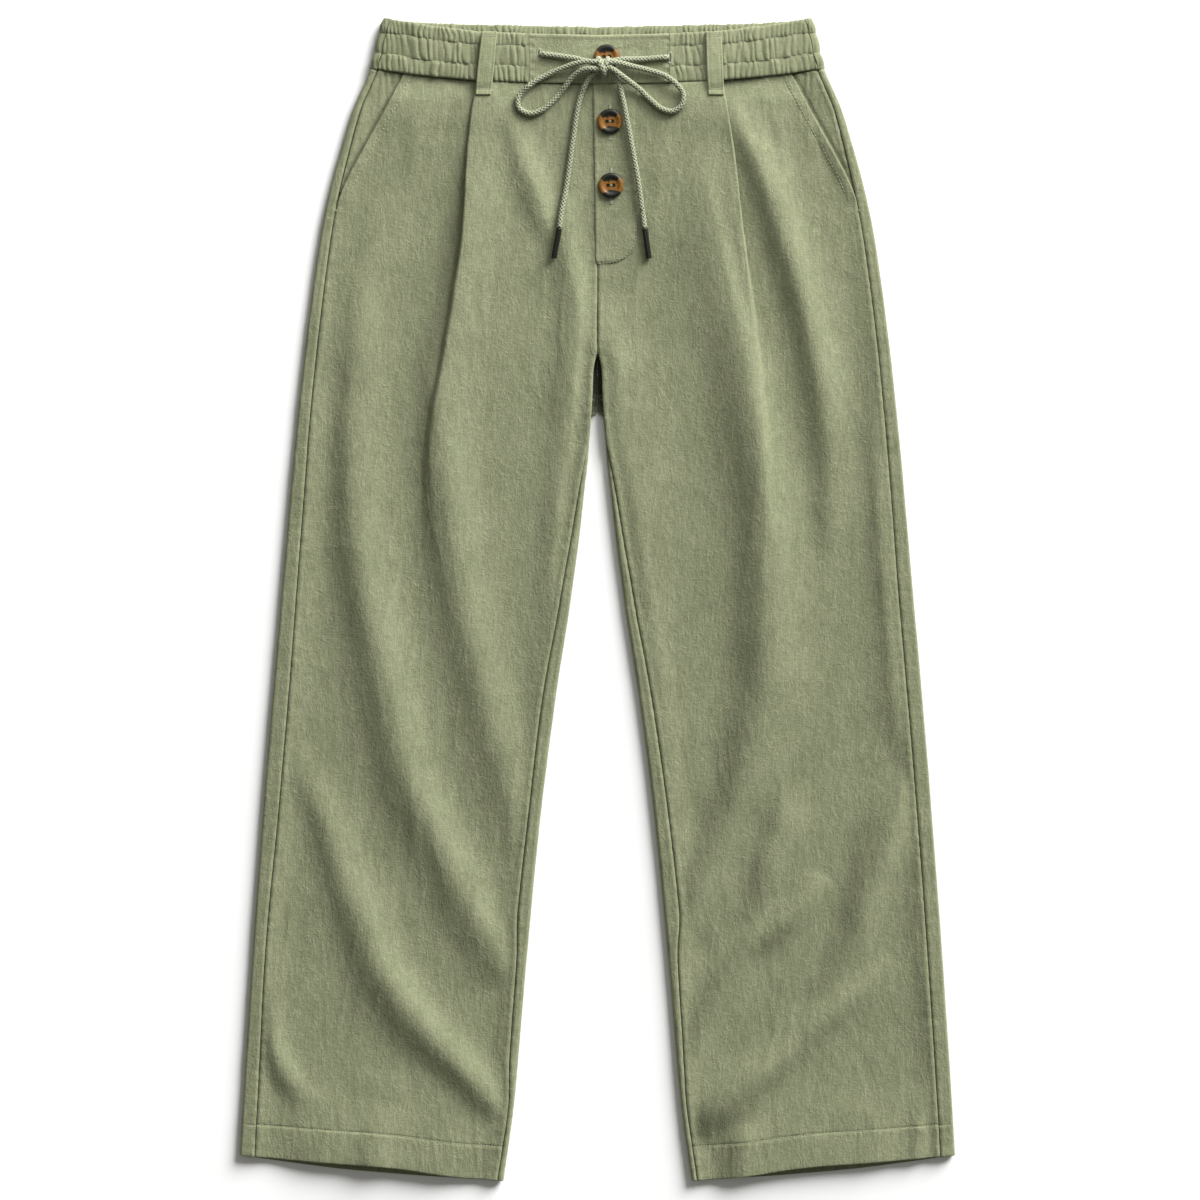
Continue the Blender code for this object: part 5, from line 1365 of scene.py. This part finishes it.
def buildCord(side):
    # The end that comes out of one slit, passes through to the other side's loop and hangs on its own side.
    radius, other = cordLook["diameter"] / 2, otherSide[side]
    stretches = (leads[side], loops[other], tails[side])
    line = settled(np.concatenate([joined(*stretch.values()) for stretch in stretches]), radius)
    # The first stretch rises out of the slit.
    line[:, 2] -= cordLook["slitDepth"] * ease(cordLook["slitRun"], 0, lengthAlong(line))
    line = evenSteps(line, cordLook["ring"])
    piece = tubePiece("cord_" + side, [tube(line, radius, cordLook["around"], braid)], cotton)
    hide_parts("drawstring_lead_" + side, "drawstring_loop_" + other, "drawstring_tail_" + side)
    tied = [buildTip(side)] + ([knot] if side == "right" else [])


tips = {
    "right": ((-33.3, 184.2), (-38.2, 210.4)),       # from and to, across and down
    "left": ((41.3, 184.2), (45, 210.4)),
    "radius": 2.35,
    "length": 26,
    "ribs": 7,
    "ribHeight": 0.17,
    "around": 42,
}


def buildTip(side):
    ends = np.array([0, 0.008, 0.025, 0.05])
    share = np.concatenate([ends, np.linspace(0.09, 0.91, 26), 1 - ends[::-1]])
    x, down = (first + (last - first) * share for first, last in zip(*tips[side]))
    under = np.max([underCord(x + dx, down) for dx in (-2, 0, 2)], axis=0)
    level = np.interp(share, (0, 1), (under[0], under[-1]))
    level = level + np.max(under - level) * 0.8
    end = np.minimum(share, 1 - share) * tips["length"]
    size = tips["radius"] * (0.8 + 0.2 * np.sqrt(1 - (1 - np.clip(end / 0.9, 0, 1)) ** 2))
    size = size - 0.12 * bell(end - 2.0, 0.5)

    def ribs(angle, along):
        return tips["ribHeight"] * np.cos(tips["ribs"] * angle) * np.clip(end / 1.6, 0, 1)[:, None]

    line = joined(x, down, level + gap + tips["radius"])
    piece = tubePiece("tip_" + side, [tube(line, size, tips["around"], ribs)], tipFinish)
    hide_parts("cord_tip_" + side)
    return piece


# Strands of the knot: across, down, height over the plain band and radius.
knotLook = (
    ((0.6, 36.2, 5.2, 2.1), (1.1, 37.8, 9.0, 2.7), (2.2, 41.0, 12.8, 3.1), (3.9, 45.0, 13.4, 2.8),
     (5.2, 48.6, 11.6, 2.4), (5.8, 51.4, 8.0, 1.9), (5.4, 52.6, 4.6, 1.5)),
    ((9.3, 36.2, 5.4, 1.9), (8.9, 38.0, 9.6, 2.3), (8.0, 41.6, 12.0, 2.5), (7.2, 45.8, 11.6, 2.4),
     (6.6, 49.6, 8.6, 2.0), (6.2, 51.4, 5.4, 1.6)),
    ((-4.4, 45.0, 3.0, 1.8), (-3.2, 46.4, 5.6, 2.2), (-0.8, 47.6, 6.8, 2.4), (1.6, 48.2, 6.2, 2.2),
     (3.2, 48.6, 4.6, 1.8)),
)


def buildKnot():
    base = bandUnder(0) + waistband["plainCloth"]
    strands = []
    for rows in knotLook:
        strand = table("across down height size", *rows)
        line = joined(strand["across"], strand["down"], strand["height"] + base)
        lane = {"along": lengthAlong(line), "size": strand["size"], **dict(zip("xyz", line.T))}
        at = np.linspace(0, lane["along"][-1], int(lane["along"][-1] / 0.5))
        line = joined(*(curveAt(lane, column, at) for column in "xyz"))
        strands.append(tube(line, curveAt(lane, "size", at), cordLook["around"], braid))
    piece = tubePiece("bowKnot", strands, cotton)
    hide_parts("drawstring_knot")
    return piece


knot = buildKnot()
for side in sides:
    buildCord(side)
print("drawstring made")


# Buttons and sewing.

buttonLook = {
    "radius": 11.0,
    "holeRadius": 1.7,
    "holeSpacing": 4.7,
    "profile": table("radius height", (0, 2.1), (3.2, 2.06), (5.2, 2.12), (6.4, 2.45), (7.4, 3.0),
                     (8.3, 3.25), (9.3, 3.22), (10.1, 2.85), (10.7, 2.25), (11.0, 1.6)),
    "under": ((11.0, 1.3), (10.7, 0.6), (10.0, 0.1), (9.0, 0.0), (0, 0)),
    "turns": 72,
    "holeTurns": 28,
    "footing": 0.85,         # share of the radius on which it rests
}


def buttonBlank(name):
    # A dished disc turned about its own axis.
    radii = np.concatenate([np.linspace(0, 8.4, 22), np.linspace(8.8, buttonLook["radius"], 12)])
    profile = list(zip(radii, curveAt(buttonLook["profile"], "height", radii))) + list(buttonLook["under"])
    form = bmesh.new()
    points = [form.verts.new((radius * mm, 0, height * mm)) for radius, height in profile]
    edges = [form.edges.new(pair) for pair in zip(points, points[1:])]
    bmesh.ops.spin(form, geom=points + edges, cent=(0, 0, 0), axis=(0, 0, 1), angle=2 * math.pi,
                   steps=buttonLook["turns"], use_duplicate=False)
    bmesh.ops.remove_doubles(form, verts=form.verts, dist=0.000005)
    bmesh.ops.recalc_face_normals(form, faces=form.faces)
    mesh = bpy.data.meshes.new("button_" + name)
    form.to_mesh(mesh)
    form.free()
    return addObject("shellButton_" + name, mesh)


def drillHole(piece, x):
    radius = buttonLook["holeRadius"] * mm
    drill = bmesh.new()
    bmesh.ops.create_cone(drill, cap_ends=True, segments=buttonLook["holeTurns"], radius1=radius,
                          radius2=radius, depth=12 * mm)
    bmesh.ops.translate(drill, verts=drill.verts, vec=(x * mm, 0, 1.5 * mm))
    mesh = bpy.data.meshes.new("drill")
    drill.to_mesh(mesh)
    drill.free()
    cutter = addObject("drill", mesh)
    hole = piece.modifiers.new("Hole", "BOOLEAN")
    hole.operation = "DIFFERENCE"
    hole.solver = "EXACT"
    hole.object = cutter
    drilled = bpy.data.meshes.new_from_object(piece.evaluated_get(bpy.context.evaluated_depsgraph_get()))
    piece.modifiers.clear()
    piece.data = drilled
    bpy.data.objects.remove(cutter)


def buildButton(name):
    # The button rests on the cloth under its rim, and tilts with it.
    x, down = buttons[name]

    def beneath(dx, dy):
        return float(bandTop(np.abs(x + dx)) if name == "top" else placketTop(x + dx, down + dy))

    reach = buttonLook["footing"] * buttonLook["radius"]
    above, below, near, far = beneath(0, -reach), beneath(0, reach), beneath(-reach, 0), beneath(reach, 0)
    base = max(beneath(0, 0), (above + below) / 2, (near + far) / 2)
    piece = buttonBlank(name)
    for end in (-1, 1):
        drillHole(piece, end * buttonLook["holeSpacing"] / 2)
    piece.data.shade_smooth()
    piece.data.set_sharp_from_angle(angle=math.radians(42))
    piece.data.materials.clear()
    piece.data.materials.append(shellFinish)
    piece.location = tuple(placed("left", np.array([x, down, base + 1.5 * gap])))
    piece.rotation_euler = (math.atan2(above - below, 2 * reach), math.atan2(near - far, 2 * reach), 0)
    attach(piece, "root")
    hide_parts("button_" + name)
    return base


# Each kind of stitch: from one to the next, its length and its radius. A bar lies across its line.
stitchKinds = {
    "hem": (2.35, 1.3, 0.27, False),
    "pocket": (3.4, 2.35, 0.27, False),
    "tack": (0.7, 1.9, 0.2, True),
    "gathers": (2.3, 1.3, 0.22, False),
    "loopEdge": (2.9, 2.0, 0.22, False),
    "loopEnd": (1.5, 1.2, 0.26, False),
    "placket": (2.9, 1.9, 0.27, False),
    "foldEdge": (3.0, 2.1, 0.2, False),
    "buttonhole": (0.7, 2.6, 0.33, True),
    "slit": (0.62, 1.5, 0.28, True),
}


def stitchesAlong(line, kind):
    # Small rounded stitches end to end along a line, given as across, down and height.
    pitch, length, radius, bar = stitchKinds[kind]
    middle = np.arange(pitch / 2, lengthAlong(line)[-1], pitch)
    ahead = pointsAt(line, middle + 0.6) - pointsAt(line, middle - 0.6)
    ahead /= np.linalg.norm(ahead, axis=1, keepdims=True)
    if bar:
        ahead = joined(-ahead[:, 1], ahead[:, 0], ahead[:, 2])
    share = np.array([-0.5, -0.46, -0.36, 0, 0.36, 0.46, 0.5])[:, None]
    arch = radius * (1.1 - 6 * share ** 2) * (0, 0, 1)
    size = radius * np.array([0.25, 0.65, 0.95, 1, 0.95, 0.65, 0.25])
    return [tube(point + share * length * direction + arch, size, 6)
            for point, direction in zip(pointsAt(line, middle), ahead)]


def sewn(name, stitches, finish=thread):
    tubePiece(name, stitches, finish)


def onFront(side, out, down, rise):
    return joined(sides[side] * out, down, frontTop(side, out, down) + rise)


def sewLegs(side):
    # The hem's row of stitches, the pocket's topstitching and its bar tack.
    row = np.array([trousers["hemStitch"]])
    start, end = (onRow(row, frontCut, lambda down: edge(side, down))[0] for edge in (frontInner, frontEdge))
    out = np.arange(start + 1.5, end - 1.5, 0.8)
    stitches = stitchesAlong(onFront(side, out, rowDown(trousers["hemStitch"], out, frontCut), -0.3), "hem")
    down = np.arange(54, 153, 0.8)
    out = curveAt(pocketEdge, "out", down) - frontPanel["pocketStitch"]
    stitches += stitchesAlong(onFront(side, out, down, 0.12), "pocket")
    out = curveAt(pocketEdge, "out", 168.0) + 3.5 - np.arange(0, 4.6, 0.5)
    sewn("legSewing_" + side, stitches + stitchesAlong(onFront(side, out, 168.4, 0.0), "tack"))


def sewBand(side):
    # Two rows of short stitches that hold the gathers, and the belt loop's own stitches.
    stitches = []
    out = np.arange(waistband["plainHalf"][side] + gap + 2, 178.0, 0.7)
    for across in (1.0, 2.0):
        gather = gatherAt(sides[side] * out, np.full(out.shape, across), waistband["seed"][side])
        rise = bandUnder(out) + waistband["cloth"] - 0.9 + 0.55 * waistband["gather"] * gather
        stitches += stitchesAlong(joined(sides[side] * out, bandDown(out, across), rise), "gathers")
    down = np.arange(14.5, 66.5, 0.8)
    centre, base = loopBase(side, down)
    for shift in (-0.343, 0.343):
        x = sides[side] * (centre + shift * beltLoops["width"])
        stitches += stitchesAlong(joined(x, down, base + beltLoops["cloth"] - 0.4), "loopEdge")
    for level in beltLoops["tacks"]:
        centre, base = loopBase(side, np.array([level]))
        x = sides[side] * centre + np.arange(-5.6, 5.8, 0.5)
        stitches += stitchesAlong(joined(x, level, base + beltLoops["cloth"] - 0.32), "loopEnd")
    sewn("bandSewing_" + side, stitches)


def sewFly():
    # Topstitching round the placket's outer edge and along its fold, and its two buttonholes.
    down = np.arange(60, 190, 0.8)
    edge = joined(curveAt(placket["outline"], "outer", down) - placket["stitchIn"], down)
    x, stitched = evenSteps(joined(*np.concatenate([edge, placket["stitchedEnd"]]).T, 0), 0.6)[:, :2].T
    stitches = stitchesAlong(joined(x, stitched, placketTop(x, stitched) - 0.75), "placket")
    x = -curveAt(placket["outline"], "inner", down) + 1.5
    stitches += stitchesAlong(joined(x, down, placketTop(x, down) - 0.05), "foldEdge")
    for name in ("middle", "lower"):
        x, centre = buttons[name]
        for first, last in ((-15.2, -10.6), (10.6, 16.4)):
            down = np.arange(centre + first, centre + last, 0.4)
            stitches += stitchesAlong(joined(x, down, placketTop(x + 0 * down, down) + 0.1), "buttonhole")
    sewn("flySewing", stitches)


def sewButton(name, base):
    # Thread through the two holes.
    x, down = buttons[name]
    run = np.linspace(-1, 1, 15)
    height = base + 0.45 + 2.1 + 0.2 - 1.6 * np.abs(run) ** 7
    across = x + run * (buttonLook["holeSpacing"] / 2 - 1.2)
    strands = [tube(joined(across, down + shift, height), 0.18, 8) for shift in (-0.3, 0.25)]
    sewn("buttonThread_" + name, strands)


def sewSlits():
    # Close bars of thread round the two slits that the drawstring comes out of, and flat near-black pieces in
    # their mouths: painted shade.
    level = bandUnder(60.0) + waistband["plainCloth"]
    turn = np.linspace(0, 2 * math.pi, 60)
    share = np.linspace(-1, 1, 25)
    stitches, mouthShades = [], []
    for side, sign in sides.items():
        x, down = leads[side]["across"][0], leads[side]["down"][0]
        ring = joined(x + sign * 0.6 + 1.5 * np.cos(turn), down + 5.0 * np.sin(turn), level - 0.1)
        stitches += stitchesAlong(ring, "slit")
        mouthShade = tube(joined(x + sign * 0.5, down + 4.3 * share, level + 0.02),
                     0.95 * np.sqrt(np.maximum(1 - share ** 2, 0.01)), 14)
        mouthShade[..., 2] = level + 0.02 + (mouthShade[..., 2] - level - 0.02) * 0.12
        mouthShades.append(mouthShade)
    sewn("slitSewing", stitches)
    sewn("slitMouthShade", mouthShades, hollow)


for name in buttons:
    sewButton(name, buildButton(name))
for side in sides:
    sewLegs(side)
    sewBand(side)
sewFly()
sewSlits()
print("buttons and sewing made")


# Light, floor and camera.

studio = {
    "view": 1050.0,          # millimetres across the view
    "centre": (0.0022, -0.00035),    # metres, as are the lamp and the floor
    "lens": 180,
    "sensor": 36,
    "sunTurn": (67, 0, 140),
    "sun": 6.95,
    "sunWidth": 34,
    "sky": 0.21,
    "skyColour": (1, 0.99, 0.92, 1),
    "lampAt": (0.1, 0.80, 0.33),     # a soft lamp beyond the waist
    "lampAim": (0, 0.45, 0),
    "lampSize": 0.5,
    "lamp": 2.2,
    "floor": 6,              # from its middle to an edge
    "floorHeight": -0.0004,
    "paper": (0.95, 0.95, 0.95, 1),
}


def buildStudio():
    scene = bpy.context.scene
    camera = bpy.data.cameras.new("camera")
    camera.lens = studio["lens"]
    camera.sensor_width = studio["sensor"]
    scene.camera = addObject("camera", camera)
    scene.camera.location = (*studio["centre"], studio["view"] * mm * studio["lens"] / studio["sensor"])
    sun = bpy.data.lights.new("sun", "SUN")
    sun.energy = studio["sun"]
    sun.angle = math.radians(studio["sunWidth"])
    addObject("sun", sun).rotation_euler = [math.radians(angle) for angle in studio["sunTurn"]]
    soft = bpy.data.lights.new("softLamp", "AREA")
    soft.energy = studio["lamp"]
    soft.size = studio["lampSize"]
    lamp = addObject("softLamp", soft)
    lamp.location = studio["lampAt"]
    aim = Vector(studio["lampAim"]) - lamp.location
    lamp.rotation_euler = aim.to_track_quat("-Z", "Y").to_euler()
    world = bpy.data.worlds.new("studio")
    world.use_nodes = True
    fill(world.node_tree, world.node_tree.nodes["Background"],
         {"Color": studio["skyColour"], "Strength": studio["sky"]})
    scene.world = world
    scene.view_settings.view_transform = "Standard"
    mesh = bpy.data.meshes.new("floor")
    corners = [(x * studio["floor"], y * studio["floor"], studio["floorHeight"])
               for x, y in ((-1, -1), (1, -1), (1, 1), (-1, 1))]
    mesh.from_pydata(corners, [], [(0, 1, 2, 3)])
    paper, tree, shader = newMaterial("paper")
    fill(tree, shader, {"Base_Color": studio["paper"], "Roughness": 0.9})
    mesh.materials.append(paper)
    addObject("floor", mesh)


buildStudio()
